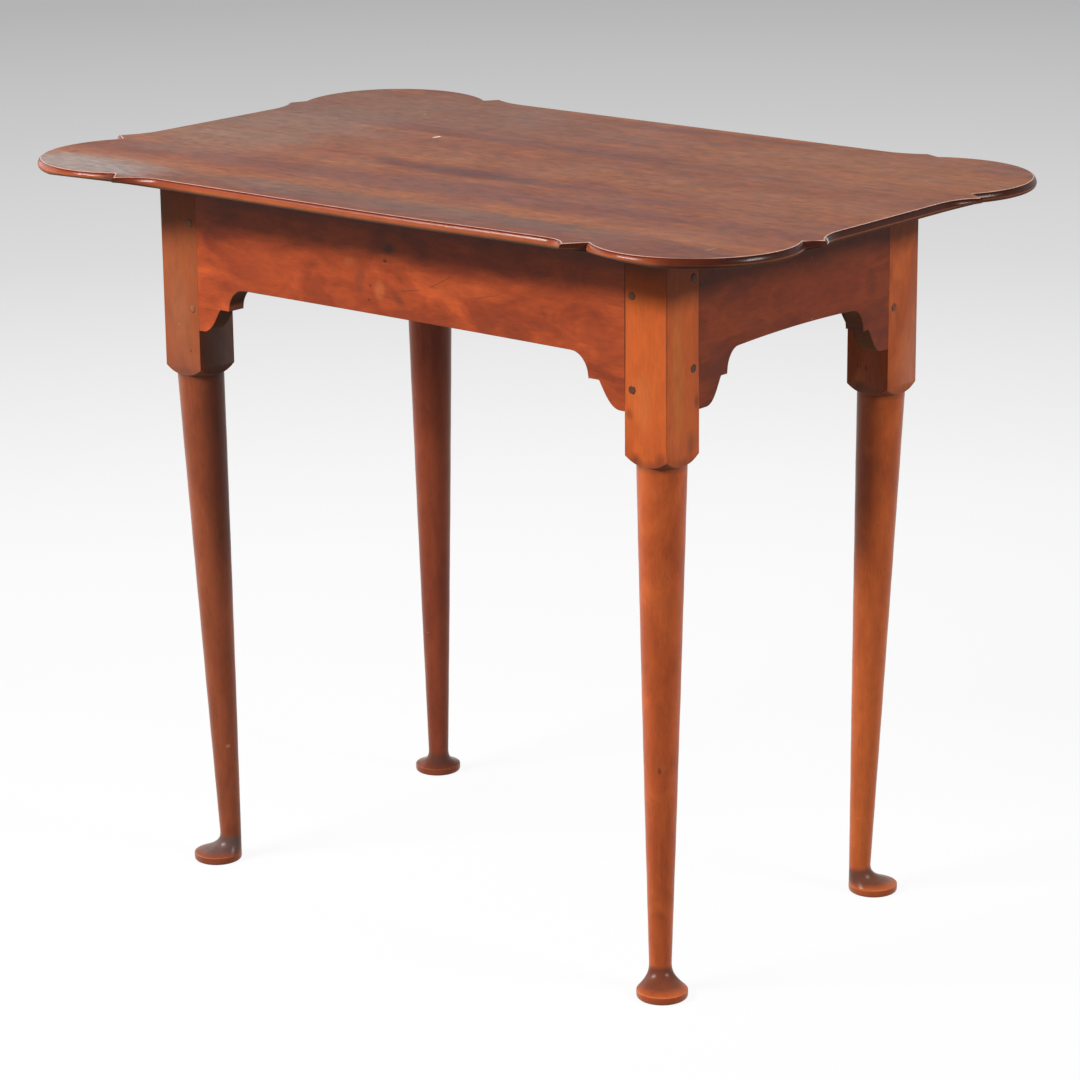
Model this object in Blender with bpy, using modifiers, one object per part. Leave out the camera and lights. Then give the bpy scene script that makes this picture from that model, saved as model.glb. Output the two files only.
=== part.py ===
"""A porringer top tea table: a lobed top of two boards on a pegged frame of turned legs and rails.

Frame of the model: metres, +Z up, origin on the floor below the middle of the table, +X along its length.
The front is the long side at -Y and the right is the short side at +X.
"""

import math

import bmesh
import bpy
from mathutils import Matrix, Vector

# Whole table
TABLE_HEIGHT = 0.680
FRAME_LENGTH = 0.5856
FRAME_WIDTH = 0.3656
CLEARANCE = 0.0003

# Top: its outline is measured on the upper surface, inside the rounded edge
TOP_LENGTH = 0.790
TOP_WIDTH = 0.495
TOP_THICKNESS = 0.016
EDGE_THICKNESS = 0.0088
UNDER_BEVEL_START = 0.008
UNDER_BEVEL_WIDTH = 0.042
UNDER_BEVEL_CORNER = 0.060
SEAM_BEHIND_MIDDLE = 0.027
LOBE_RADIUS = 0.090
LOBE_PAST_END = 0.012
LOBE_PAST_SIDE = 0.0155
SIDE_NOTCH_FROM_END = 0.127
SIDE_CUSP_RUN = 0.016
SIDE_CUSP_REACH = 0.0145
SIDE_FLARE_LENGTH = 0.040
END_NOTCH_FROM_SIDE = 0.1175
END_CUSP_RUN = 0.013
END_CUSP_REACH = 0.0125
END_FLARE_LENGTH = 0.039

# Legs
LEG_BLOCK = 0.0443
BLOCK_LENGTH = 0.1817
SHOULDER_RISE = 0.0076
SHOULDER_CURVE = 1.35
SHOULDER_LEDGE = 0.0003
SHAFT_TOP_DIAMETER = 0.0432
SHAFT_SWELL = 0.0003
SHAFT_ROOT = 0.015
ANKLE_DIAMETER = 0.0200
ANKLE_HEIGHT = 0.027
ANKLE_CURVE = 2.8
FOOT_DIAMETER = 0.0452
FOOT_RIM_HEIGHT = 0.0072
FOOT_SOLE_ROUND = 0.002

# Rails
RAIL_THICKNESS = 0.019
RAIL_SETBACK = 0.0004
RAIL_DEPTH = 0.0925
STEP_DEPTH = 0.114
TIP_DEPTH = 0.137
OGEE_LEAN = 0.005
OGEE_DROP = 0.008
OGEE_SWEEP = 0.011
LONG_TIP_LENGTH = 0.005
LONG_OGEE_LENGTH = 0.0225
LONG_STEP_LENGTH = 0.0115
LONG_COVE_LENGTH = 0.019
LONG_ARCH_RISE = 0.0005
SHORT_TIP_LENGTH = 0.010
SHORT_OGEE_LENGTH = 0.0205
SHORT_STEP_LENGTH = 0.0085
SHORT_COVE_LENGTH = 0.016
SHORT_ARCH_RISE = 0.0020

# Joints
TENON_THICKNESS = 0.008
TENON_LENGTH = 0.0255
TENON_TOP_SHOULDER = 0.012
TENON_TIP_SHOULDER = 0.008
PEG_DIAMETER = 0.008
PEG_LENGTH = 0.030
PEG_FROM_SHOULDER = 0.0080
LONG_UPPER_PEG_BELOW_TOP = 0.0376
LONG_LOWER_PEG_BELOW_TOP = 0.1173
SHORT_UPPER_PEG_BELOW_TOP = 0.0236
SHORT_LOWER_PEG_BELOW_TOP = 0.1006

# Glue blocks under the top
GLUE_BLOCK_SIDE = 0.022
GLUE_BLOCK_CHAMFER = 0.009
GLUE_BLOCK_LENGTH = 0.065
GLUE_BLOCK_FROM_LEG = 0.026

# Roundness of the modelled curves
LEG_SIDES = 28
SHAFT_RINGS = 5
COVE_RINGS = 6
COVE_RING_SPREAD = 1.5
SOLE_RINGS = 2
SHOULDER_STEPS = 5
LOBE_STEPS = 14
FLARE_STEPS = 5
EDGE_STEPS = 2
SCALLOP_STEPS = 7
ARCH_STEPS = 8
PEG_SIDES = 12

# How far helpers run past the faces that they cut or join
CUTTER_REACH = 0.010

# Heights that follow from the sizes above
UNDERSIDE = TABLE_HEIGHT - TOP_THICKNESS
FRAME_TOP = UNDERSIDE - CLEARANCE
SHOULDER_HEIGHT = FRAME_TOP - BLOCK_LENGTH


def clear_scene():
    """Remove every object of the scene that the script starts in."""
    for leftover in list(bpy.data.objects):
        bpy.data.objects.remove(leftover, do_unlink=True)


def new_collection(name):
    """Return a new collection linked to the scene."""
    collection = bpy.data.collections.new(name)
    bpy.context.scene.collection.children.link(collection)
    return collection


def new_wood(name, colour, roughness):
    """Return a varnished wood material with one base colour."""
    wood = bpy.data.materials.new(name)
    wood.use_nodes = True
    shader = wood.node_tree.nodes["Principled BSDF"]
    shader.inputs["Base Color"].default_value = (*colour, 1.0)
    shader.inputs["Roughness"].default_value = roughness
    shader.inputs["Metallic"].default_value = 0.0
    return wood


clear_scene()
TABLE = new_collection("porringer_tea_table")
CUTTERS = new_collection("cutters")
ROOT = bpy.data.objects.new("tea_table_origin", None)
TABLE.objects.link(ROOT)
TOP_WOOD = new_wood("top_wood", (0.22, 0.075, 0.032), 0.30)
LEG_WOOD = new_wood("leg_wood", (0.32, 0.105, 0.028), 0.35)
RAIL_WOOD = new_wood("rail_wood", (0.25, 0.062, 0.018), 0.35)
PEG_WOOD = new_wood("peg_wood", (0.085, 0.028, 0.014), 0.50)
BLOCK_WOOD = new_wood("glue_block_wood", (0.36, 0.21, 0.10), 0.75)


def object_of(name, mesh_data):
    """Return an object for a mesh, as a part of the table with nothing done to it yet."""
    made = bpy.data.objects.new(name, mesh_data)
    TABLE.objects.link(made)
    made.parent = ROOT
    return made


def object_from_bmesh(name, shape):
    """Return an object that holds a bmesh with its faces turned outward."""
    bmesh.ops.recalc_face_normals(shape, faces=shape.faces)
    mesh_data = bpy.data.meshes.new(name)
    shape.to_mesh(mesh_data)
    shape.free()
    return object_of(name, mesh_data)


def make_cutter(tool):
    """Turn an object into a hidden helper for Booleans and return it."""
    TABLE.objects.unlink(tool)
    CUTTERS.objects.link(tool)
    tool.display_type = "WIRE"
    tool.hide_render = True
    return tool


def combine(target, operation, tool):
    """Add a Boolean with a helper to an object."""
    boolean = target.modifiers.new(f"{operation.lower()}_{tool.name}", "BOOLEAN")
    boolean.operation = operation
    boolean.solver = "EXACT"
    boolean.object = tool


def finish_part(part, wood, sharp_degrees=35.0):
    """Give a part its wood and smooth shading with crisp edges."""
    part.data.materials.clear()
    part.data.materials.append(wood)
    part.data.shade_smooth()
    part.data.set_sharp_from_angle(angle=math.radians(sharp_degrees))


def box(name, low, high):
    """Return a box between two opposite corners."""
    low, high = Vector(low), Vector(high)
    shape = bmesh.new()
    bmesh.ops.create_cube(shape, size=1.0)
    bmesh.ops.scale(shape, vec=high - low, verts=shape.verts)
    bmesh.ops.translate(shape, vec=(low + high) / 2, verts=shape.verts)
    return object_from_bmesh(name, shape)


def upright_box(name, opposite, bottom, top):
    """Return a box between two heights over the rectangle between two opposite points."""
    low = (min(spot.x for spot in opposite), min(spot.y for spot in opposite), bottom)
    high = (max(spot.x for spot in opposite), max(spot.y for spot in opposite), top)
    return box(name, low, high)


def lofted(name, sections):
    """Return a body through level sections, from the lowest up, that have equally many corners."""
    shape = bmesh.new()
    cap = shape.faces.new([shape.verts.new(spot) for spot in sections[0]])
    for index, section in enumerate(sections[1:]):
        grown = bmesh.ops.extrude_face_region(shape, geom=[cap])["geom"]
        if index:
            bmesh.ops.delete(shape, geom=[cap], context="FACES_ONLY")
        cap = next(item for item in grown if isinstance(item, bmesh.types.BMFace))
        for corner, spot in zip(cap.verts, section):
            corner.co = spot
    return object_from_bmesh(name, shape)


def pin(name, diameter, outer_end, inward, length):
    """Return a peg-shaped cylinder that runs from its outer end along a direction."""
    shape = bmesh.new()
    bmesh.ops.create_cone(
        shape,
        cap_ends=True,
        segments=PEG_SIDES,
        radius1=diameter / 2,
        radius2=diameter / 2,
        depth=length,
    )
    made = object_from_bmesh(name, shape)
    made.rotation_euler = inward.to_track_quat("Z", "Y").to_euler()
    made.location = outer_end + inward * (length / 2)
    return made


def flat_outline(name, points, half_thickness, edge_radius=0.0):
    """Return a plate of a flat outline, with a half-round edge outside the outline where one is given."""
    curve = bpy.data.curves.new(name, "CURVE")
    curve.dimensions = "2D"
    curve.fill_mode = "BOTH"
    curve.extrude = half_thickness - edge_radius
    curve.bevel_depth = edge_radius
    curve.bevel_resolution = EDGE_STEPS
    spline = curve.splines.new("POLY")
    spline.points.add(len(points) - 1)
    for spot, (across, up) in zip(spline.points, points):
        spot.co = (across, up, 0.0, 1.0)
    spline.use_cyclic_u = True
    guide = bpy.data.objects.new(f"{name}_guide", curve)
    TABLE.objects.link(guide)
    evaluated = guide.evaluated_get(bpy.context.evaluated_depsgraph_get())
    mesh_data = bpy.data.meshes.new_from_object(evaluated)
    bpy.data.objects.remove(guide, do_unlink=True)
    shape = bmesh.new()
    shape.from_mesh(mesh_data)
    bpy.data.meshes.remove(mesh_data)
    bmesh.ops.remove_doubles(shape, verts=shape.verts, dist=0.00001)
    return object_from_bmesh(name, shape)


def arc(centre, across, up, start_degrees, end_degrees, steps):
    """Return the points of an elliptical arc, both ends included."""
    points = []
    for step in range(steps + 1):
        angle = math.radians(start_degrees + (end_degrees - start_degrees) * step / steps)
        points.append((centre[0] + across * math.cos(angle), centre[1] + up * math.sin(angle)))
    return points


def flare(length, reach, steps):
    """Return a hollow curve from (0, 0), tangent to the first axis, that climbs to (length, reach)."""
    radius = (length**2 + reach**2) / (2 * reach)
    end_angle = math.asin(length / radius)
    points = []
    for step in range(steps + 1):
        angle = end_angle * step / steps
        points.append((radius * math.sin(angle), radius * (1 - math.cos(angle))))
    return points


def porringer_quarter():
    """Return the top's outline in the quarter of positive X and Y, from the short to the long side."""
    end = TOP_LENGTH / 2
    side = TOP_WIDTH / 2
    lobe = Vector((end + LOBE_PAST_END - LOBE_RADIUS, side + LOBE_PAST_SIDE - LOBE_RADIUS))
    end_notch = side - END_NOTCH_FROM_SIDE
    side_notch = end - SIDE_NOTCH_FROM_END
    lobe_start = math.degrees(math.asin((end_notch - lobe.y) / LOBE_RADIUS))
    lobe_finish = math.degrees(math.acos((side_notch - lobe.x) / LOBE_RADIUS))
    end_cusp = end_notch - END_CUSP_RUN
    side_cusp = side_notch - SIDE_CUSP_RUN
    points = []
    for along, out in flare(END_FLARE_LENGTH, END_CUSP_REACH, FLARE_STEPS):
        points.append((end + out, end_cusp - END_FLARE_LENGTH + along))
    points += arc(lobe, LOBE_RADIUS, LOBE_RADIUS, lobe_start, lobe_finish, LOBE_STEPS)
    for along, out in reversed(flare(SIDE_FLARE_LENGTH, SIDE_CUSP_REACH, FLARE_STEPS)):
        points.append((side_cusp - SIDE_FLARE_LENGTH + along, side + out))
    return points


def porringer_outline():
    """Return the whole outline of the top, counter-clockwise."""
    quarter = porringer_quarter()
    left_half_turn = [(-across, up) for across, up in reversed(quarter)]
    half = quarter + left_half_turn
    return half + [(-across, -up) for across, up in half]


def rounded_rectangle(half_length, half_width, corner, height):
    """Return a level section with rounded corners around the middle of the table."""
    points = []
    for turn, (right, back) in enumerate(((1, 1), (-1, 1), (-1, -1), (1, -1))):
        centre = (right * (half_length - corner), back * (half_width - corner))
        points += arc(centre, corner, corner, 90 * turn, 90 * turn + 90, FLARE_STEPS)
    return [Vector((across, along, height)) for across, along in points]


def under_panel():
    """Return the thick middle of the top, whose bevelled underside thins out towards the edge."""
    reach_x = TOP_LENGTH / 2 - UNDER_BEVEL_START
    reach_y = TOP_WIDTH / 2 - UNDER_BEVEL_START
    flat_x = reach_x - UNDER_BEVEL_WIDTH
    flat_y = reach_y - UNDER_BEVEL_WIDTH
    sections = [
        rounded_rectangle(flat_x, flat_y, UNDER_BEVEL_CORNER, UNDERSIDE),
        rounded_rectangle(reach_x, reach_y, UNDER_BEVEL_CORNER, TABLE_HEIGHT - EDGE_THICKNESS),
        rounded_rectangle(reach_x, reach_y, UNDER_BEVEL_CORNER, TABLE_HEIGHT - EDGE_THICKNESS / 2),
    ]
    return make_cutter(lofted("top_under_panel", sections))


def make_top():
    """Make the two boards of the top, split along the grain."""
    far = TOP_LENGTH
    panel = under_panel()
    seam = SEAM_BEHIND_MIDDLE
    halves = {
        "top_front_board": (-far, seam - CLEARANCE / 2),
        "top_rear_board": (seam + CLEARANCE / 2, far),
    }
    for name, (near, back) in halves.items():
        board = flat_outline(name, porringer_outline(), EDGE_THICKNESS / 2, EDGE_THICKNESS / 2)
        for corner in board.data.vertices:
            corner.co.z += TABLE_HEIGHT - EDGE_THICKNESS / 2
        combine(board, "UNION", panel)
        low = (-far, near, UNDERSIDE - CUTTER_REACH)
        high = (far, back, TABLE_HEIGHT + CUTTER_REACH)
        combine(board, "INTERSECT", make_cutter(box(f"{name}_half", low, high)))
        finish_part(board, TOP_WOOD)


def leg_stations():
    """Return a leg's rings from the sole up, as height, radius and distance of the centre inward."""
    foot = FOOT_DIAMETER / 2
    ankle = ANKLE_DIAMETER / 2
    shaft = SHAFT_TOP_DIAMETER / 2
    offset = foot - ankle
    stations = []
    for step in range(SOLE_RINGS + 1):
        angle = math.pi / 2 * step / SOLE_RINGS
        height = FOOT_SOLE_ROUND * (1 - math.cos(angle))
        stations.append((height, foot - FOOT_SOLE_ROUND * (1 - math.sin(angle)), 0.0))
    for step in range(COVE_RINGS):
        climb = (step / COVE_RINGS) ** COVE_RING_SPREAD
        drawn_in = 1 - (1 - climb) ** ANKLE_CURVE
        height = FOOT_RIM_HEIGHT + (ANKLE_HEIGHT - FOOT_RIM_HEIGHT) * climb
        stations.append((height, foot - offset * drawn_in, offset * drawn_in))
    for step in range(SHAFT_RINGS + 1):
        climb = step / SHAFT_RINGS
        swell = SHAFT_SWELL * 4 * climb * (1 - climb)
        height = ANKLE_HEIGHT + (SHOULDER_HEIGHT - ANKLE_HEIGHT) * climb
        stations.append((height, ankle + (shaft - ankle) * climb + swell, offset * (1 - climb)))
    stations.append((SHOULDER_HEIGHT + SHAFT_ROOT, shaft, 0.0))
    return stations


def turned_shaft(name, axis, inward):
    """Return a leg's foot and shaft: round sections whose centres lean inward down to the ankle."""
    sections = []
    for height, radius, offset in leg_stations():
        centre = Vector((axis.x, axis.y, height)) + inward * offset
        section = []
        for side in range(LEG_SIDES):
            angle = math.tau * side / LEG_SIDES
            section.append(centre + Vector((math.cos(angle), math.sin(angle), 0.0)) * radius)
        sections.append(section)
    return make_cutter(lofted(name, sections))


def shoulder_turning(name, axis):
    """Return the turned body that rounds the lower corners of a leg's square block."""
    inner = SHAFT_TOP_DIAMETER / 2 + SHOULDER_LEDGE
    outer = math.hypot(LEG_BLOCK, LEG_BLOCK) / 2 + CLEARANCE
    above = FRAME_TOP + CUTTER_REACH
    profile = [(0.0, above), (outer, above)]
    for step in range(SHOULDER_STEPS + 1):
        out = 1 - step / SHOULDER_STEPS
        height = SHOULDER_HEIGHT + SHOULDER_RISE * out**SHOULDER_CURVE
        profile.append((inner + (outer - inner) * out, height))
    profile.append((0.0, SHOULDER_HEIGHT))
    mesh_data = bpy.data.meshes.new(name)
    corners = [(across, 0.0, up) for across, up in profile]
    mesh_data.from_pydata(corners, [(spot, spot + 1) for spot in range(len(corners) - 1)], [])
    turned = object_of(name, mesh_data)
    screw = turned.modifiers.new("turning", "SCREW")
    screw.steps = LEG_SIDES
    screw.render_steps = LEG_SIDES
    screw.use_merge_vertices = True
    screw.merge_threshold = 0.00001
    turned.location = (axis.x, axis.y, 0.0)
    return make_cutter(turned)


def rail_middle():
    """Return the distance of a rail's middle plane from the outer faces of the leg blocks."""
    return RAIL_SETBACK + RAIL_THICKNESS / 2


def joints_of_leg(right, back):
    """Return a leg's two joints: the rail's name, the way out of the mortise and the way the pegs go in."""
    rail_along_x = ("front" if back < 0 else "rear", Vector((-right, 0, 0)), Vector((0, -back, 0)))
    rail_along_y = ("right" if right > 0 else "left", Vector((0, -back, 0)), Vector((-right, 0, 0)))
    return rail_along_x, rail_along_y


def peg_depths(rail_name):
    """Return the depths of a rail's two pegs below the underside of the top."""
    if rail_name in ("front", "rear"):
        return {"upper": LONG_UPPER_PEG_BELOW_TOP, "lower": LONG_LOWER_PEG_BELOW_TOP}
    return {"upper": SHORT_UPPER_PEG_BELOW_TOP, "lower": SHORT_LOWER_PEG_BELOW_TOP}


def mortise(name, axis, out_of_leg, peg_inward):
    """Return the cutter for a mortise, open at the block's inner face."""
    half = LEG_BLOCK / 2
    middle = axis - peg_inward * (half - rail_middle())
    mouth = middle + out_of_leg * (half + CUTTER_REACH)
    end = middle + out_of_leg * (half - TENON_LENGTH - CLEARANCE)
    sideways = peg_inward * (TENON_THICKNESS / 2 + CLEARANCE)
    bottom = FRAME_TOP - TIP_DEPTH + TENON_TIP_SHOULDER - CLEARANCE
    top = FRAME_TOP - TENON_TOP_SHOULDER + CLEARANCE
    return make_cutter(upright_box(name, (mouth + sideways, end - sideways), bottom, top))


def peg_start(axis, out_of_leg, peg_inward, depth):
    """Return the point on the block's outer face where a peg starts."""
    half = LEG_BLOCK / 2
    start = axis - peg_inward * half + out_of_leg * (half - PEG_FROM_SHOULDER)
    start.z = FRAME_TOP - depth
    return start


def peg_hole(name, start, inward):
    """Return the cutter for a peg's blind hole."""
    outside = start - inward * CUTTER_REACH
    length = CUTTER_REACH + PEG_LENGTH + CLEARANCE
    return make_cutter(pin(name, PEG_DIAMETER + 2 * CLEARANCE, outside, inward, length))


def make_leg_and_pegs(place, right, back, holes):
    """Make one leg with its mortises and peg holes, and the four pegs that lock its joints."""
    half = LEG_BLOCK / 2
    axis = Vector((right * (FRAME_LENGTH / 2 - half), back * (FRAME_WIDTH / 2 - half), 0.0))
    inward = Vector((-right, -back, 0.0)).normalized()
    corner = Vector((half, half, 0.0))
    low = axis - corner + Vector((0, 0, SHOULDER_HEIGHT - CUTTER_REACH))
    leg = box(f"leg_{place}", low, axis + corner + Vector((0, 0, FRAME_TOP)))
    combine(leg, "INTERSECT", shoulder_turning(f"shoulder_{place}", axis))
    combine(leg, "UNION", turned_shaft(f"shaft_{place}", axis, inward))
    for rail_name, out_of_leg, peg_inward in joints_of_leg(right, back):
        combine(leg, "DIFFERENCE", mortise(f"mortise_{place}_{rail_name}", axis, out_of_leg, peg_inward))
        for level, depth in peg_depths(rail_name).items():
            start = peg_start(axis, out_of_leg, peg_inward, depth)
            hole = peg_hole(f"hole_{place}_{rail_name}_{level}", start, peg_inward)
            combine(leg, "DIFFERENCE", hole)
            holes[rail_name].append(hole)
            peg = pin(f"peg_{place}_{rail_name}_{level}", PEG_DIAMETER, start, peg_inward, PEG_LENGTH)
            finish_part(peg, PEG_WOOD)
    finish_part(leg, LEG_WOOD)


def ogee(start, end, steps):
    """Return the points of a curve that leaves its start steeply and arrives at its end level."""
    leave = (start[0] - OGEE_LEAN, start[1] - OGEE_DROP)
    arrive = (end[0] + OGEE_SWEEP, end[1])
    points = []
    for step in range(steps + 1):
        along = step / steps
        weights = ((1 - along) ** 3, 3 * along * (1 - along) ** 2, 3 * along**2 * (1 - along), along**3)
        spots = (start, leave, arrive, end)
        across = sum(weight * spot[0] for weight, spot in zip(weights, spots))
        height = sum(weight * spot[1] for weight, spot in zip(weights, spots))
        points.append((across, height))
    return points


def scallop(tip, ogee_length, step, cove):
    """Return the lower edge of a rail's end, from the tip beside the leg to the straight middle."""
    step_start = (tip + ogee_length, -STEP_DEPTH)
    step_end = step_start[0] + step
    points = [(0.0, -TIP_DEPTH)]
    points += reversed(ogee(step_start, (tip, -TIP_DEPTH), SCALLOP_STEPS))
    points += arc((step_end + cove, -STEP_DEPTH), cove, STEP_DEPTH - RAIL_DEPTH, 180, 90, SCALLOP_STEPS)
    return points


def rail_outline(length, ends, arch_rise):
    """Return a rail's outline between its shoulders, with its top edge at height zero."""
    half = length / 2
    left_end = [(-half + along, height) for along, height in ends]
    start = left_end[-1][0]
    arch = []
    for step in range(1, ARCH_STEPS):
        across = step / ARCH_STEPS
        arch.append((start * (1 - 2 * across), -RAIL_DEPTH + arch_rise * 4 * across * (1 - across)))
    right_end = [(-along, height) for along, height in reversed(left_end)]
    return [(-half, 0.0)] + left_end + arch + right_end + [(half, 0.0)]


def make_rail(name, outline, length, centre, turn, holes):
    """Make one rail with a tenon at each end and the peg holes through its tenons."""
    rail = flat_outline(f"rail_{name}", outline, RAIL_THICKNESS / 2)
    upright = Matrix.Rotation(turn, 4, "Z") @ Matrix.Rotation(math.pi / 2, 4, "X")
    rail.data.transform(upright)
    rail.location = (centre[0], centre[1], FRAME_TOP)
    along = Matrix.Rotation(turn, 3, "Z") @ Vector((1.0, 0.0, 0.0))
    across = Matrix.Rotation(turn, 3, "Z") @ Vector((0.0, 1.0, 0.0))
    for end_name, way in (("low", -1), ("high", 1)):
        shoulder = Vector((centre[0], centre[1], 0.0)) + along * (way * length / 2)
        root = shoulder - along * (way * CUTTER_REACH)
        tip = shoulder + along * (way * (TENON_LENGTH - CLEARANCE))
        sideways = across * (TENON_THICKNESS / 2)
        bottom = FRAME_TOP - TIP_DEPTH + TENON_TIP_SHOULDER
        top = FRAME_TOP - TENON_TOP_SHOULDER
        tenon = upright_box(f"tenon_{name}_{end_name}", (root + sideways, tip - sideways), bottom, top)
        combine(rail, "UNION", make_cutter(tenon))
    for hole in holes:
        combine(rail, "DIFFERENCE", hole)
    finish_part(rail, RAIL_WOOD)


def make_rails(holes):
    """Make the front, rear, right and left rails between the leg blocks."""
    long_length = FRAME_LENGTH - 2 * LEG_BLOCK - 2 * CLEARANCE
    short_length = FRAME_WIDTH - 2 * LEG_BLOCK - 2 * CLEARANCE
    reach_x = FRAME_LENGTH / 2 - rail_middle()
    reach_y = FRAME_WIDTH / 2 - rail_middle()
    long_ends = scallop(LONG_TIP_LENGTH, LONG_OGEE_LENGTH, LONG_STEP_LENGTH, LONG_COVE_LENGTH)
    short_ends = scallop(SHORT_TIP_LENGTH, SHORT_OGEE_LENGTH, SHORT_STEP_LENGTH, SHORT_COVE_LENGTH)
    quarter_turn = math.pi / 2
    for name, way in (("front", -1), ("rear", 1)):
        outline = rail_outline(long_length, long_ends, LONG_ARCH_RISE)
        make_rail(name, outline, long_length, (0.0, way * reach_y), 0.0, holes[name])
    for name, way in (("right", 1), ("left", -1)):
        outline = rail_outline(short_length, short_ends, SHORT_ARCH_RISE)
        make_rail(name, outline, short_length, (way * reach_x, 0.0), quarter_turn, holes[name])


def make_glue_block(name, corner, turn):
    """Make one glue block whose square corner lies against a rail and under the top."""
    outline = [
        (0.0, 0.0),
        (0.0, -GLUE_BLOCK_SIDE),
        (GLUE_BLOCK_SIDE - GLUE_BLOCK_CHAMFER, -GLUE_BLOCK_SIDE),
        (GLUE_BLOCK_SIDE, -GLUE_BLOCK_SIDE + GLUE_BLOCK_CHAMFER),
        (GLUE_BLOCK_SIDE, 0.0),
    ]
    block = flat_outline(f"glue_block_{name}", outline, GLUE_BLOCK_LENGTH / 2)
    block.data.transform(Matrix.Rotation(turn, 4, "Z") @ Matrix.Rotation(math.pi / 2, 4, "X"))
    block.location = (corner[0], corner[1], FRAME_TOP)
    finish_part(block, BLOCK_WOOD)


def make_glue_blocks():
    """Make three glue blocks along each long rail and one on each short rail."""
    inside = RAIL_SETBACK + RAIL_THICKNESS + CLEARANCE
    reach_x = FRAME_LENGTH / 2 - inside
    reach_y = FRAME_WIDTH / 2 - inside
    quarter_turn = math.pi / 2
    rail_end = FRAME_LENGTH / 2 - LEG_BLOCK
    spacing = rail_end - GLUE_BLOCK_FROM_LEG - GLUE_BLOCK_LENGTH / 2
    for place, offset in (("left", -spacing), ("middle", 0.0), ("right", spacing)):
        make_glue_block(f"front_{place}", (offset, -reach_y), quarter_turn)
        make_glue_block(f"rear_{place}", (offset, reach_y), -quarter_turn)
    make_glue_block("left_end", (-reach_x, 0.0), 0.0)
    make_glue_block("right_end", (reach_x, 0.0), math.pi)


def make_table():
    """Make the whole table."""
    holes = {"front": [], "rear": [], "right": [], "left": []}
    make_leg_and_pegs("front_right", 1, -1, holes)
    make_leg_and_pegs("front_left", -1, -1, holes)
    make_leg_and_pegs("rear_right", 1, 1, holes)
    make_leg_and_pegs("rear_left", -1, 1, holes)
    make_rails(holes)
    make_glue_blocks()
    make_top()


make_table()
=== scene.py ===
"""Looks of the porringer top tea table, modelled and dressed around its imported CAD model.

Every object is in metres in the frame of the CAD model: +Z up, the origin on the floor below the
middle of the table, +X along its length and the front long side at -Y.
"""

import logging
import math
from collections.abc import Callable, Iterable, Sequence
from dataclasses import dataclass, field
from enum import Enum
from typing import ClassVar

import bmesh
import bpy
from mathutils import Matrix, Vector


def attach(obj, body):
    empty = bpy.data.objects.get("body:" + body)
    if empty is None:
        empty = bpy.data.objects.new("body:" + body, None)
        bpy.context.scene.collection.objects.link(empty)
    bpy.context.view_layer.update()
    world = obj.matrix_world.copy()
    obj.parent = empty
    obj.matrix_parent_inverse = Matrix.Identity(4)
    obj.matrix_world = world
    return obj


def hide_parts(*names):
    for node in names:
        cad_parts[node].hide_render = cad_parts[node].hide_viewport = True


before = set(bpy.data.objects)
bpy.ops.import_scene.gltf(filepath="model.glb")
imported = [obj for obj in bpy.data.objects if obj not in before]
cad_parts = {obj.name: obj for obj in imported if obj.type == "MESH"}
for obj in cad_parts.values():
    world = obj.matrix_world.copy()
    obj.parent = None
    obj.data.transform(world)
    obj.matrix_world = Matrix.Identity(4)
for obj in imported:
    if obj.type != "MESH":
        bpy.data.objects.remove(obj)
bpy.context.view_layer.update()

LOG = logging.getLogger("tea_table")
BODY = "root"

Colour = tuple[float, float, float]
Point = tuple[float, float, float]
Flat = tuple[float, float]
Piece = bpy.types.Object
Node = bpy.types.Node
Socket = bpy.types.NodeSocket

NOWHERE = (0.0, 0.0, 0.0)
RIGHTWARD = (1.0, 0.0, 0.0)
UPWARD = (0.0, 0.0, 1.0)
DOWNWARD = (0.0, 0.0, -1.0)

MARK_DEPTH = 0.1
RAIL_MARK_DEPTH = 0.05
RAIL_FACE = -0.182


class Element(Enum):
    """What an edit-mode selection is made of: its mode, and its list in the mesh."""

    VERTEX = ("VERT", "verts")
    EDGE = ("EDGE", "edges")
    FACE = ("FACE", "faces")


class Grain(Enum):
    """The turn that lays the grain's own X axis along the table's length, width or height."""

    LENGTH = (0.0, 0.0, 0.0)
    WIDTH = (0.0, 0.0, -math.pi / 2)
    HEIGHT = (0.0, math.pi / 2, 0.0)


class Face(Enum):
    """The axis that a mark leans about on an upper or a front face."""

    UPPER = (0.0, 0.0, -1.0)
    FRONT = (0.0, 1.0, 0.0)


class Slot(Enum):
    """The record's material slots."""

    TOP = "top_wood"
    LEG = "leg_wood"
    RAIL = "rail_wood"
    PEG = "peg_wood"
    GLUE_BLOCK = "glue_block_wood"


class Corner(Enum):
    """A corner of the frame: its name and the signs of its place along X and Y."""

    FRONT_RIGHT = ("front_right", 1, -1)
    FRONT_LEFT = ("front_left", -1, -1)
    REAR_RIGHT = ("rear_right", 1, 1)
    REAR_LEFT = ("rear_left", -1, 1)

    @classmethod
    def of(cls, place: str) -> "Corner":
        """Return the corner that a place's name starts with."""
        return next(corner for corner in cls if place.startswith(corner.place))

    @property
    def place(self) -> str:
        """The corner's name."""
        return self.value[0]

    @property
    def right(self) -> int:
        """1 on the right and -1 on the left."""
        return self.value[1]

    @property
    def back(self) -> int:
        """1 at the back and -1 at the front."""
        return self.value[2]


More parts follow.
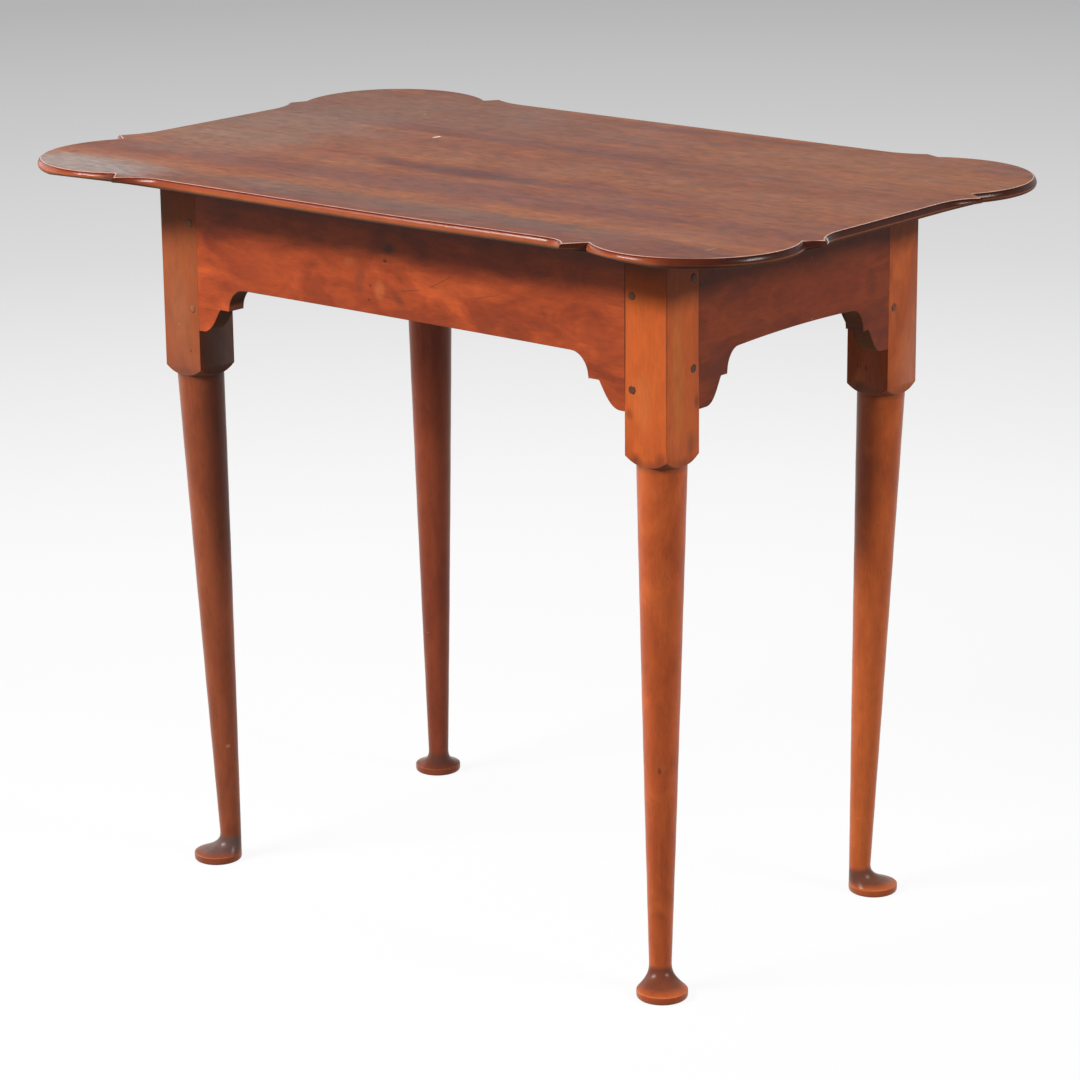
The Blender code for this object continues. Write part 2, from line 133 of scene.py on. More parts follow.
class Bench:
    """Blender's modelling tools, used as by hand on one piece at a time."""

    MERGE = 0.000004

    @staticmethod
    def clear() -> None:
        """Leave edit mode and deselect everything."""
        if bpy.context.mode != "OBJECT":
            bpy.ops.object.mode_set(mode="OBJECT")
        bpy.ops.object.select_all(action="DESELECT")

    @staticmethod
    def hold(piece: Piece) -> None:
        """Make one piece the active and only selected one."""
        Bench.clear()
        piece.select_set(True)
        bpy.context.view_layer.objects.active = piece

    @staticmethod
    def take(name: str) -> Piece:
        """Return the primitive that was just added, under its name and with its place in its mesh."""
        piece = bpy.context.object
        piece.name = name
        piece.data.name = name
        Bench.hold(piece)
        bpy.ops.object.transform_apply(location=True, rotation=True, scale=True)
        return piece

    @staticmethod
    def edit(piece: Piece, element: Element, everything: bool = False) -> None:
        """Open a piece in edit mode with nothing or everything selected."""
        Bench.hold(piece)
        bpy.ops.object.mode_set(mode="EDIT")
        bpy.ops.mesh.select_mode(type=element.value[0])
        bpy.ops.mesh.select_all(action="SELECT" if everything else "DESELECT")

    @staticmethod
    def pick(piece: Piece, element: Element, test: Callable[..., bool]) -> None:
        """Select the corners, edges or faces of a piece in edit mode that pass a test.

        Args:
            piece: The piece that is open in edit mode.
            element: What is selected.
            test: Says of each one whether it is selected.
        """
        bpy.ops.mesh.select_mode(type=element.value[0])
        bpy.ops.mesh.select_all(action="DESELECT")
        shape = bmesh.from_edit_mesh(piece.data)
        for item in getattr(shape, element.value[1]):
            if test(item):
                item.select_set(True)
        shape.select_flush_mode()
        bmesh.update_edit_mesh(piece.data)

    @staticmethod
    def face_out() -> None:
        """Turn all faces of the piece in edit mode outwards."""
        bpy.ops.mesh.select_all(action="SELECT")
        bpy.ops.mesh.normals_make_consistent(inside=False)

    @staticmethod
    def place(piece: Piece, move: Callable[[Vector], Vector]) -> None:
        """Move each corner of a piece to where a rule puts it."""
        Bench.clear()
        for corner in piece.data.vertices:
            corner.co = move(corner.co)
        piece.data.update()

    @staticmethod
    def modify(piece: Piece, kind: str, **settings: object) -> None:
        """Add a modifier with its settings and apply it."""
        Bench.hold(piece)
        modifier = piece.modifiers.new(kind.lower(), kind)
        for setting, value in settings.items():
            setattr(modifier, setting, value)
        bpy.ops.object.modifier_apply(modifier=modifier.name)

    @staticmethod
    def combine(piece: Piece, operation: str, tool: Piece) -> None:
        """Join, cut or intersect a piece with a tool, which is used up."""
        Bench.modify(piece, "BOOLEAN", operation=operation, object=tool, solver="EXACT")
        bpy.data.meshes.remove(tool.data)

    @staticmethod
    def block(name: str, low: Vector, high: Vector) -> Piece:
        """Return a plain block between two corners."""
        Bench.clear()
        bpy.ops.mesh.primitive_cube_add(size=1.0, location=(low + high) / 2, scale=high - low)
        return Bench.take(name)

    @staticmethod
    def turning(name: str, sides: int, rings: Sequence[tuple[Vector, float]]) -> Piece:
        """Return a closed body of round rings, each drawn up from the one below.

        Args:
            name: The body's name.
            sides: How many sides each ring has.
            rings: Each ring's centre and radius, from the lowest up.

        Returns:
            The body.
        """
        Bench.clear()
        centre, radius = rings[0]
        bpy.ops.mesh.primitive_circle_add(vertices=sides, radius=radius, fill_type="NGON", location=centre)
        piece = Bench.take(name)
        Bench.edit(piece, Element.FACE, everything=True)
        for next_centre, next_radius in rings[1:]:
            step = next_centre - centre
            scale = next_radius / radius
            bpy.ops.mesh.extrude_region_move(TRANSFORM_OT_translate={"value": step})
            bpy.ops.transform.resize(value=(scale, scale, 1.0), center_override=next_centre)
            centre, radius = next_centre, next_radius
        Bench.face_out()
        Bench.clear()
        return piece

    @staticmethod
    def copy(piece: Piece, name: str, place: Matrix) -> Piece:
        """Return a copy of a piece with its own mesh, put in its place and facing outwards."""
        twin = piece.copy()
        twin.data = piece.data.copy()
        twin.name = name
        twin.data.name = name
        bpy.context.scene.collection.objects.link(twin)
        twin.data.transform(place)
        if place.determinant() < 0:
            twin.data.flip_normals()
        return twin

    @staticmethod
    def finish(piece: Piece, sharp: float) -> None:
        """Merge what Booleans left double, face the piece outwards and smooth its round surfaces.

        Args:
            piece: The piece.
            sharp: The angle, in degrees, from which an edge stays sharp.
        """
        Bench.edit(piece, Element.VERTEX, everything=True)
        bpy.ops.mesh.remove_doubles(threshold=Bench.MERGE)
        Bench.face_out()
        Bench.hold(piece)
        bpy.ops.object.shade_smooth_by_angle(angle=math.radians(sharp))
        Bench.modify(piece, "WEIGHTED_NORMAL", mode="FACE_AREA", weight=100, keep_sharp=True)
        Bench.clear()


class Graph:
    """Places and links the nodes of one material, world or node group."""

    def __init__(self, tree: bpy.types.NodeTree) -> None:
        """Start on a node tree."""
        self.tree = tree

    @classmethod
    def of(cls, owner: bpy.types.ID) -> "Graph":
        """Return the empty graph of a new material or world."""
        owner.use_nodes = True
        owner.node_tree.nodes.clear()
        return cls(owner.node_tree)

    def add(self, kind: str, inputs: dict | None = None, **settings: object) -> Node:
        """Add a node, set its options and fill its inputs.

        Args:
            kind: The node's type.
            inputs: A value, or the socket to link, for each input by name or number.
            settings: The node's options.

        Returns:
            The node.
        """
        node = self.tree.nodes.new(kind)
        for option, value in settings.items():
            setattr(node, option, value)
        for key, value in (inputs or {}).items():
            self.fill(node.inputs[key], value)
        return node

    def fill(self, given: Socket, value: object) -> None:
        """Link an input to a socket, or set its value."""
        if isinstance(value, Socket):
            self.tree.links.new(value, given)
        else:
            given.default_value = value

    def math(self, operation: str, first: object, second: object = 0.0, clamp: bool = False) -> Socket:
        """Return the result of an operation on two values."""
        node = self.add("ShaderNodeMath", {0: first, 1: second}, operation=operation, use_clamp=clamp)
        return node.outputs[0]

    def plus(self, first: object, second: object, clamp: bool = False) -> Socket:
        """Return the sum of two values."""
        return self.math("ADD", first, second, clamp)

    def minus(self, first: object, second: object, clamp: bool = False) -> Socket:
        """Return what is left of a value after another is taken off."""
        return self.math("SUBTRACT", first, second, clamp)

    def times(self, first: object, second: object, clamp: bool = False) -> Socket:
        """Return the product of two values."""
        return self.math("MULTIPLY", first, second, clamp)

    def vector(self, operation: str, first: object, second: object = NOWHERE) -> Socket:
        """Return the result of an operation on two vectors."""
        node = self.add("ShaderNodeVectorMath", {0: first, 1: second}, operation=operation)
        return node.outputs["Value" if operation in ("LENGTH", "DOT_PRODUCT") else "Vector"]

    def along(self, place: object, way: object) -> Socket:
        """Return how far a vector goes along a way."""
        return self.vector("DOT_PRODUCT", place, way)

    def scaled(self, vector: object, scale: object) -> Socket:
        """Return a vector times a number."""
        node = self.add("ShaderNodeVectorMath", {0: vector, "Scale": scale}, operation="SCALE")
        return node.outputs["Vector"]

    def noise(
        self,
        place: object,
        scale: object,
        detail: float,
        rough: float = 0.5,
        bend: float = 0.0,
        stretch: Point | None = None,
        coloured: bool = False,
    ) -> Socket:
        """Return a noise.

        Args:
            place: The place that it is read at.
            scale: How many waves fill a metre.
            detail: How many finer waves are laid over these.
            rough: How strong the finer waves are.
            bend: How far the waves are bent.
            stretch: What the place is multiplied by first.
            coloured: Whether it is a noise of three numbers and not of one.

        Returns:
            Its socket.
        """
        if stretch:
            place = self.vector("MULTIPLY", place, stretch)
        values = {"Vector": place, "Scale": scale, "Detail": detail, "Roughness": rough, "Distortion": bend}
        return self.add("ShaderNodeTexNoise", values).outputs["Color" if coloured else 0]

    def unrest(self, place: object, stretch: Point, detail: float, rough: float = 0.5) -> Socket:
        """Return a noise of three numbers about zero."""
        noise = self.noise(place, 1.0, detail, rough, stretch=stretch, coloured=True)
        return self.vector("SUBTRACT", noise, (0.5, 0.5, 0.5))

    def between(
        self, value: object, start: object, end: object, low: object = 0.0, high: object = 1.0
    ) -> Socket:
        """Return a value eased from low to high as it goes from start to end."""
        values = {"Value": value, "From Min": start, "From Max": end, "To Min": low, "To Max": high}
        return self.add("ShaderNodeMapRange", values, interpolation_type="SMOOTHSTEP").outputs[0]

    def mix(self, share: object, first: object, second: object, blend: str = "MIX") -> Socket:
        """Return two colours mixed by a share."""
        values = {0: share, 6: first, 7: second}
        return self.add("ShaderNodeMix", values, data_type="RGBA", blend_type=blend).outputs[2]

    def ramp(self, value: object, stops: Iterable[tuple[float, Colour]], easing: str = "EASE") -> Socket:
        """Return the colour that a value picks from a row of stops, given from the lowest up."""
        node = self.add("ShaderNodeValToRGB", {0: value})
        row = node.color_ramp
        row.interpolation = easing
        first, *middle, last = stops
        for number, (spot, colour) in enumerate((first, last, *middle)):
            stop = row.elements[number] if number < 2 else row.elements.new(spot)
            stop.position = spot
            stop.color = screen(colour)
        return node.outputs[0]


def screen(colour: Colour) -> tuple[float, float, float, float]:
    """Return the linear colour of one written as 0 to 255 on a screen."""
    linear = []
    for part in colour:
        share = part / 255
        linear.append(share / 12.92 if share <= 0.04045 else ((share + 0.055) / 1.055) ** 2.4)
    return (linear[0], linear[1], linear[2], 1.0)


def grey(level: float) -> tuple[float, float, float, float]:
    """Return the linear colour of a grey written as 0 to 255 on a screen."""
    return screen((level, level, level))


class Effects:
    """The shader node groups that the finishes share."""

    STREAK = (0.05, 1.0, 1.0)
    FIBRE = (0.06, 1.0, 1.0)
    FLECK = (0.5, 1.0, 1.0)
    CLOUD = (0.6, 1.3, 1.3)
    RINGS = (0.16, 0.55, 1.0)

    made: dict[str, bpy.types.NodeTree] = {}

    @classmethod
    def start(cls, name: str, inputs: dict[str, object], outputs: Iterable[str]) -> tuple[Graph, dict, dict]:
        """Make an empty group with its sockets.

        Args:
            name: The group's name.
            inputs: Each input's name with its first value: a number or a vector.
            outputs: The names of its outputs, which are all numbers.

        Returns:
            The group's graph, the sockets of what it is given and the sockets of its results.
        """
        tree = bpy.data.node_groups.new(name, "ShaderNodeTree")
        for socket, value in inputs.items():
            kind = "NodeSocketFloat" if isinstance(value, float) else "NodeSocketVector"
            made = tree.interface.new_socket(name=socket, in_out="INPUT", socket_type=kind)
            made.default_value = value
        for socket in outputs:
            tree.interface.new_socket(name=socket, in_out="OUTPUT", socket_type="NodeSocketFloat")
        cls.made[name] = tree
        given, results = tree.nodes.new("NodeGroupInput"), tree.nodes.new("NodeGroupOutput")
        return Graph(tree), dict(given.outputs.items()), dict(results.inputs.items())

    @classmethod
    def use(cls, graph: Graph, name: str, inputs: dict[str, object]) -> dict[str, Socket]:
        """Place a group in a material with its own values, and return its results."""
        node = graph.add("ShaderNodeGroup", inputs, node_tree=cls.made[name])
        return dict(node.outputs.items())

    @classmethod
    def make_grain(cls) -> None:
        """Cherry grain along X: a tone of streaks and clouds, a shade of fibres, growth lines and pores."""
        inputs = {
            "Vector": NOWHERE,
            "Streaks": 55.0,
            "Clouds": 12.0, "Figure": 0.5, "Fibre": 0.3, "Flecks": 250.0, "Lines": 90.0, "Waver": 0.02,
        }
        graph, given, results = cls.start("cherry_grain", inputs, ("Tone", "Shade", "Line", "Pore"))
        drift = graph.unrest(given["Vector"], (1.6, 5.0, 5.0), 1.5)
        place = graph.vector("ADD", given["Vector"], graph.scaled(drift, given["Waver"]))

        broad = graph.noise(place, graph.times(given["Streaks"], 0.3), 2.0, 0.55, stretch=cls.STREAK)
        cloud = graph.noise(place, given["Clouds"], 4.0, 0.55, 0.7, stretch=cls.CLOUD)
        plain = graph.times(broad, graph.minus(1.0, given["Figure"]))
        tone = graph.plus(plain, graph.times(cloud, given["Figure"]))
        graph.fill(results["Tone"], graph.between(tone, 0.34, 0.66))

        streak = graph.noise(place, given["Streaks"], 3.0, 0.6, stretch=cls.STREAK)
        fine = graph.noise(place, 430.0, 2.0, 0.6, stretch=cls.FIBRE)
        fleck = graph.noise(place, given["Flecks"], 2.0, 0.6, stretch=cls.FLECK)
        fibre = graph.plus(graph.times(fine, 0.9), graph.times(fleck, 1.5))
        fibre = graph.minus(graph.plus(fibre, graph.times(streak, 0.4)), 1.4)
        graph.fill(results["Shade"], graph.plus(1.0, graph.times(fibre, given["Fibre"])))

        rings = graph.vector("LENGTH", graph.vector("MULTIPLY", place, cls.RINGS))
        rings = graph.math("FRACT", graph.times(rings, given["Lines"]))
        line = graph.times(graph.between(rings, 0.55, 0.93), graph.between(rings, 1.0, 0.94))
        patchy = graph.noise(place, 9.0, 1.0, stretch=cls.FLECK)
        graph.fill(results["Line"], graph.times(line, graph.between(patchy, 0.42, 0.62)))

        pore = graph.noise(place, 1500.0, 1.0, stretch=cls.FIBRE)
        graph.fill(results["Pore"], graph.between(pore, 0.58, 0.72))

    @classmethod
    def make_mark(cls) -> None:
        """A soft patch with a frayed outline, for streaks, stains, knots and scratches, and for painted shade,
        shadow, sheen and glints.
        """
        inputs = {
            "Vector": NOWHERE,
            "Centre": NOWHERE,
            "Reach": (1.0, 1.0, 1.0), "Axis": UPWARD, "Lean": 0.0, "Soft": 0.6, "Torn": NOWHERE,
            "Fray": 0.5,
        }
        graph, given, results = cls.start("soft_mark", inputs, ("Mask",))
        away = graph.vector("SUBTRACT", given["Vector"], given["Centre"])
        leaning = {"Vector": away, "Axis": given["Axis"], "Angle": given["Lean"]}
        away = graph.add("ShaderNodeVectorRotate", leaning).outputs[0]
        away = graph.vector("DIVIDE", away, given["Reach"])
        away = graph.vector("ADD", away, graph.scaled(given["Torn"], given["Fray"]))
        inner = graph.minus(1.0, given["Soft"])
        graph.fill(results["Mask"], graph.between(graph.vector("LENGTH", away), 1.0, inner))

    @classmethod
    def make_polish(cls) -> None:
        """Old varnish: gloss that comes and goes, rubbed patches and dust specks."""
        inputs = {"Vector": NOWHERE, "Roughness": 0.3, "Spread": 0.1}
        graph, given, results = cls.start("old_varnish", inputs, ("Roughness", "Speck", "Ripple"))
        place = given["Vector"]
        rubbed = graph.noise(place, 14.0, 3.0, 0.6)
        wiped = graph.noise(place, 1.0, 2.0, stretch=(6.0, 60.0, 60.0))
        both = graph.plus(graph.times(rubbed, 0.65), graph.times(wiped, 0.35))
        swing = graph.times(graph.minus(both, 0.5), given["Spread"])
        rough = graph.plus(given["Roughness"], graph.times(swing, 4.0), clamp=True)
        graph.fill(results["Roughness"], rough)

        dots = graph.add("ShaderNodeTexVoronoi", {"Vector": place, "Scale": 42.0, "Randomness": 1.0})
        few = graph.add("ShaderNodeSeparateColor", {0: dots.outputs["Color"]}).outputs[0]
        dot = graph.between(dots.outputs["Distance"], 0.045, 0.02)
        graph.fill(results["Speck"], graph.times(dot, graph.math("GREATER_THAN", few, 0.62)))
        graph.fill(results["Ripple"], graph.noise(place, 1.0, 1.0, stretch=(10.0, 34.0, 34.0)))

    @classmethod
    def make_wear(cls) -> None:
        """Wear along an arris: broken up by noise, so that the edge isn't rubbed alike all along."""
        inputs = {"Vector": NOWHERE, "Edge": 0.0, "Amount": 0.5}
        graph, given, results = cls.start("arris_wear", inputs, ("Wear",))
        patchy = graph.noise(given["Vector"], 46.0, 3.0, 0.65)
        edge = graph.between(given["Edge"], 0.015, 0.16)
        worn = graph.times(edge, graph.between(patchy, 0.32, 0.62, 0.35, 1.0))
        graph.fill(results["Wear"], graph.times(worn, given["Amount"], clamp=True))

    @classmethod
    def make_all(cls) -> None:
        """Make every group once."""
        cls.make_grain()
        cls.make_mark()
        cls.make_polish()
        cls.make_wear()


@dataclass(frozen=True)
class Mark:
    """A local change of colour: where it lies, how far it reaches, its tint and how strong it is."""

    centre: Point
    reach: Point
    tint: Colour
    strength: float
    soft: float = 0.7
    fray: float = 0.8
    lean: float = 0.0
    face: Face = Face.FRONT


@dataclass(frozen=True)
class WoodFinish:
    """Varnished wood: the colours of its grain from dark to pale, its figure, its gloss and its marks."""

    RIM_FIBRE: ClassVar[float] = 0.35
    RAW_ROUGHER: ClassVar[float] = 0.60
    RAW_SHADE: ClassVar[float] = 0.62
    RAW_FADE: ClassVar[float] = 0.002
    BLOCK_GLOSS: ClassVar[float] = 0.5
    GLOSS_FADE: ClassVar[float] = 0.004
    PORE_SHADE: ClassVar[float] = 0.55
    PORE_DEPTH: ClassVar[float] = 0.35
    SPECK_STRENGTH: ClassVar[float] = 0.35
    SPECK: ClassVar[Colour] = (196, 160, 138)
    ARRIS_WIDTH: ClassVar[float] = 0.0016
    SHEEN_TINT: ClassVar[Colour] = (255, 226, 200)
    TORN: ClassVar[Point] = (12.0, 42.0, 42.0)

    name: str
    grain: Grain
    deep: Colour
    body: Colour
    pale: Colour
    pith: Point = NOWHERE
    streaks: float = 55.0
    clouds: float = 14.0
    figure: float = 0.5
    fibre: float = 0.3
    flecks: float = 250.0
    lines: float = 90.0
    line_strength: float = 0.25
    pore_strength: float = 0.22
    waver: float = 0.02
    rough: float = 0.34
    rough_spread: float = 0.05
    specular: float = 0.22
    coat: float = 0.04
    coat_rough: float = 0.16
    sheen: float = 0.0
    wear: float = 0.35
    worn: Colour = (214, 138, 88)
    relief: float = 0.00006
    raw_side: Point = NOWHERE
    raw_from: float = 1.0
    raw: Colour = (112, 70, 46)
    sawn: Colour | None = None
    glossy_below: float = 0.0
    rim: tuple[tuple[float, Colour], ...] = ()
    rim_rough: float = 0.24
    # The next two colours: the darker colour where the edge faces right (+X), and the pale arris line there,
    # which is wear with a painted glint.
    rim_end: Colour = (46, 22, 16)
    rim_rubbed: Colour = (228, 220, 212)
    rim_marks: tuple[Mark, ...] = ()
    marks: tuple[Mark, ...] = ()

    def material(self) -> bpy.types.Material:
        """Return the finish as a material on Object coordinates."""
        made = bpy.data.materials.new(self.name)
        graph = Graph.of(made)
        place = graph.add("ShaderNodeTexCoord").outputs["Object"]
        turned = graph.add("ShaderNodeMapping", {"Vector": place, "Rotation": self.grain.value}).outputs[0]
        laid = graph.add("ShaderNodeMapping", {"Vector": turned, "Location": self.pith}).outputs[0]
        figure = {
            "Vector": laid,
            "Streaks": self.streaks, "Clouds": self.clouds, "Figure": self.figure, "Fibre": self.fibre,
            "Flecks": self.flecks, "Lines": self.lines, "Waver": self.waver,
        }
        grain = Effects.use(graph, "cherry_grain", figure)
        varnish = {"Vector": laid, "Roughness": self.rough, "Spread": self.rough_spread}
        polish = Effects.use(graph, "old_varnish", varnish)
        colour = self.colour(graph, place, laid, grain, polish)
        rough, coat = polish["Roughness"], self.coat
        if self.rim:
            share, rim, gloss = self.turned_down(graph)
            rim = graph.mix(self.RIM_FIBRE, rim, grain["Shade"], "MULTIPLY")
            colour = graph.mix(share, colour, self.marked(graph, place, laid, rim, self.rim_marks))
            smoother = graph.times(graph.times(share, gloss), self.rough - self.rim_rough)
            rough = graph.minus(rough, smoother, clamp=True)
        if any(self.raw_side):
            raw, under = self.raw_share(graph, place), self.looks_down(graph)
            if self.sawn:
                colour = graph.mix(under, colour, screen(self.sawn))
            colour = graph.mix(raw, colour, self.raw_wood(graph, grain))
            dull = graph.math("MAXIMUM", raw, under)
            rough = graph.plus(rough, graph.times(dull, self.RAW_ROUGHER), clamp=True)
            coat = graph.between(dull, 0.0, 1.0, self.coat, 0.0)
        elif self.glossy_below:
            start, end = self.glossy_below + self.GLOSS_FADE, self.glossy_below - self.GLOSS_FADE
            height = graph.along(place, UPWARD)
            coat = graph.between(height, start, end, self.BLOCK_GLOSS * self.coat, self.coat)
        height = graph.minus(polish["Ripple"], graph.times(grain["Pore"], self.PORE_DEPTH))
        bump = graph.add("ShaderNodeBump", {"Strength": 0.5, "Distance": self.relief, "Height": height})
        shader = {
            "Base Color": colour,
            "Roughness": rough, "IOR": 1.5, "Specular IOR Level": self.specular, "Coat Weight": coat,
            "Coat Roughness": self.coat_rough, "Sheen Weight": self.sheen, "Sheen Roughness": 0.5,
            "Sheen Tint": screen(self.SHEEN_TINT), "Normal": bump.outputs[0],
        }
        wood = graph.add("ShaderNodeBsdfPrincipled", shader)
        graph.add("ShaderNodeOutputMaterial", {"Surface": wood.outputs[0]})
        return made

    def colour(
        self, graph: Graph, place: Socket, laid: Socket, grain: dict[str, Socket], polish: dict[str, Socket]
    ) -> Socket:
        """Return the varnished wood's colour: grain, figure, marks, specks and worn arrises.

        Args:
            graph: The material's graph.
            place: The place on the piece.
            laid: The same place, laid along the grain.
            grain: The results of the material's grain.
            polish: The results of the material's varnish.

        Returns:
            The colour's socket.
        """
        colour = graph.ramp(grain["Tone"], ((0.06, self.deep), (0.5, self.body), (0.94, self.pale)))
        colour = self.marked(graph, place, laid, colour, self.marks)
        colour = graph.mix(1.0, colour, grain["Shade"], "MULTIPLY")
        colour = graph.mix(graph.times(grain["Line"], self.line_strength), colour, screen(self.deep))
        pore = tuple(self.PORE_SHADE * part for part in self.deep)
        colour = graph.mix(graph.times(grain["Pore"], self.pore_strength), colour, screen(pore))
        colour = graph.mix(graph.times(polish["Speck"], self.SPECK_STRENGTH), colour, screen(self.SPECK))
        rounded = graph.add("ShaderNodeBevel", {"Radius": self.ARRIS_WIDTH}, samples=4).outputs[0]
        flat = graph.add("ShaderNodeNewGeometry").outputs["Normal"]
        edge = graph.minus(1.0, graph.along(rounded, flat))
        wear = Effects.use(graph, "arris_wear", {"Vector": place, "Edge": edge, "Amount": self.wear})
        return graph.mix(wear["Wear"], colour, screen(self.worn))

    @classmethod
    def marked(
        cls, graph: Graph, place: Socket, laid: Socket, colour: Socket, marks: Sequence[Mark]
    ) -> Socket:
        """Return a colour with marks laid over it, all frayed by one noise along the grain.

        Args:
            graph: The material's graph.
            place: The place on the piece.
            laid: The same place, laid along the grain.
            colour: The colour below the marks.
            marks: The marks, from the lowest up.

        Returns:
            The colour's socket.
        """
        if marks:
            torn = graph.unrest(laid, cls.TORN, 4.0, 0.6)
        for mark in marks:
            values = {
                "Vector": place,
                "Centre": mark.centre,
                "Reach": mark.reach, "Axis": mark.face.value, "Lean": math.radians(mark.lean),
                "Soft": mark.soft, "Torn": torn, "Fray": mark.fray,
            }
            mask = Effects.use(graph, "soft_mark", values)["Mask"]
            colour = graph.mix(graph.times(mask, mark.strength), colour, screen(mark.tint))
        return colour

    def turned_down(self, graph: Graph) -> tuple[Socket, Socket, Socket]:
        """Return where the surface turns down from level, as an edge does, its colour with shade and highlights
        painted by which way it faces, and its gloss there.
        """
        normal = graph.add("ShaderNodeNewGeometry").outputs["Normal"]
        up = graph.along(normal, UPWARD)
        turn = graph.plus(graph.times(up, 0.5), 0.5)
        # Darker where the edge faces right (+X), most of all on its upper part.
        across = graph.between(graph.along(normal, RIGHTWARD), 0.15, 0.75)
        ends = graph.times(across, graph.between(up, 0.90, 0.82, 0.0, 0.9))
        ends = graph.times(ends, graph.between(up, -0.12, 0.12, 0.35, 1.0))
        # The ramp by facing paints shade and highlight into the edge's colour.
        edge = graph.ramp(turn, [((level + 1) / 2, colour) for level, colour in self.rim])
        colour = graph.mix(ends, edge, screen(self.rim_end))
        # A pale line along the right-facing arris: wear with a painted glint.
        rubbed = graph.times(across, graph.between(up, 0.86, 0.92, 0.0, 0.7))
        colour = graph.mix(rubbed, colour, screen(self.rim_rubbed))
        return graph.between(up, 0.995, 0.97), colour, graph.between(up, -0.25, 0.10)

    def looks_down(self, graph: Graph) -> Socket:
        """Return where the surface looks down, as a rail's sawn lower edge and the top's under-edge do."""
        normal = graph.add("ShaderNodeNewGeometry").outputs["Normal"]
        down = graph.between(graph.along(normal, DOWNWARD), 0.10, 0.35)
        if self.rim:
            across = graph.along(normal, RIGHTWARD)
            down = graph.times(down, graph.between(across, 0.25, 0.85, 0.45, 1.0))
        return down

    def raw_wood(self, graph: Graph, grain: dict[str, Socket]) -> Socket:
        """Return the dull colour of the wood's unvarnished side."""
        dark = tuple(self.RAW_SHADE * part for part in self.raw)
        return graph.mix(grain["Tone"], screen(dark), screen(self.raw))

    def raw_share(self, graph: Graph, place: Socket) -> Socket:
        """Return where the wood was never varnished: past a plane that looks along raw_side."""
        return graph.between(graph.along(place, self.raw_side), self.raw_from, self.raw_from + self.RAW_FADE)


@dataclass(frozen=True)
class FrameSizes:
    """Sizes that the pieces of the frame share."""

    height: float = 0.680
    length: float = 0.5856
    width: float = 0.3656
    gap: float = 0.0003
    top_thickness: float = 0.016
    leg_block: float = 0.0443
    rail_thickness: float = 0.019
    rail_setback: float = 0.0001
    tip_depth: float = 0.137
    tenon_thickness: float = 0.008
    tenon_length: float = 0.0255
    tenon_top_shoulder: float = 0.012
    tenon_tip_shoulder: float = 0.008
    peg_diameter: float = 0.0071
    peg_length: float = 0.030
    peg_from_shoulder: float = 0.0080
    peg_slack: float = 0.00018
    peg_sides: int = 24
    long_pegs: Flat = (0.0376, 0.1173)
    short_pegs: Flat = (0.0236, 0.1006)
    reach: float = 0.010

    @property
    def top(self) -> float:
        """Height of the frame's top."""
        return self.height - self.top_thickness - self.gap

    @property
    def rail_middle(self) -> float:
        """Distance of a rail's middle plane from the blocks' outer faces."""
        return self.rail_setback + self.rail_thickness / 2

    def axis(self, corner: Corner) -> Vector:
        """Return the foot of a leg's axis on the floor."""
        half = self.leg_block / 2
        across, back = self.length / 2 - half, self.width / 2 - half
        return Vector((corner.right * across, corner.back * back, 0.0))

    def joints(self, corner: Corner) -> tuple[tuple[Vector, Vector, str, Flat], ...]:
        """Return a leg's two joints: out of the mortise, into the peg holes, the rail's side, the depths."""
        across = Vector((-corner.right, 0.0, 0.0))
        along = Vector((0.0, -corner.back, 0.0))
        long_side = "front" if corner.back < 0 else "rear"
        short_side = "right" if corner.right > 0 else "left"
        return (across, along, long_side, self.long_pegs), (along, across, short_side, self.short_pegs)

    def peg_start(self, corner: Corner, out: Vector, inward: Vector, depth: float) -> Vector:
        """Return the point on a block's face where a peg goes in."""
        half = self.leg_block / 2
        start = self.axis(corner) - inward * half + out * (half - self.peg_from_shoulder)
        start.z = self.top - depth
        return start


SIZES = FrameSizes()


def peg_drill(start: Vector, inward: Vector) -> Piece:
    """Return the drill for a peg's blind hole."""
    length = SIZES.reach + SIZES.peg_length + SIZES.gap
    bpy.ops.mesh.primitive_cylinder_add(
        vertices=SIZES.peg_sides,
        radius=SIZES.peg_diameter / 2 + SIZES.peg_slack,
        depth=length,
        location=start + inward * (length / 2 - SIZES.reach),
        rotation=inward.to_track_quat("Z", "Y").to_euler(),
    )
    return Bench.take("peg_drill")


def settle(piece: Piece, finish: WoodFinish, node: str) -> None:
    """Dress a piece, ride it on the table and let it stand for a CAD node.

    Args:
        piece: The finished piece.
        finish: Its finish, made into a material the first time that it is used.
        node: The CAD node that it stands for.
    """
    piece.data.materials.clear()
    piece.data.materials.append(bpy.data.materials.get(finish.name) or finish.material())
    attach(piece, BODY)
    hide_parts(node)
    LOG.info("%s stands for %s: %d faces", piece.name, node, len(piece.data.polygons))


@dataclass
class Kind:
    """Pieces of one kind, each under the name of its place."""

    slot: ClassVar[Slot]
    node: ClassVar[str]
    pieces: dict[str, Piece] = field(default_factory=dict, init=False)

    def build(self) -> None:
        """Model the pieces."""
        raise NotImplementedError

    def dress(self, finish: Callable[[str], WoodFinish]) -> None:
        """Give each piece the finish of its place and let it stand for its CAD node."""
        for place, piece in self.pieces.items():
            settle(piece, finish(place), self.node.format(place))


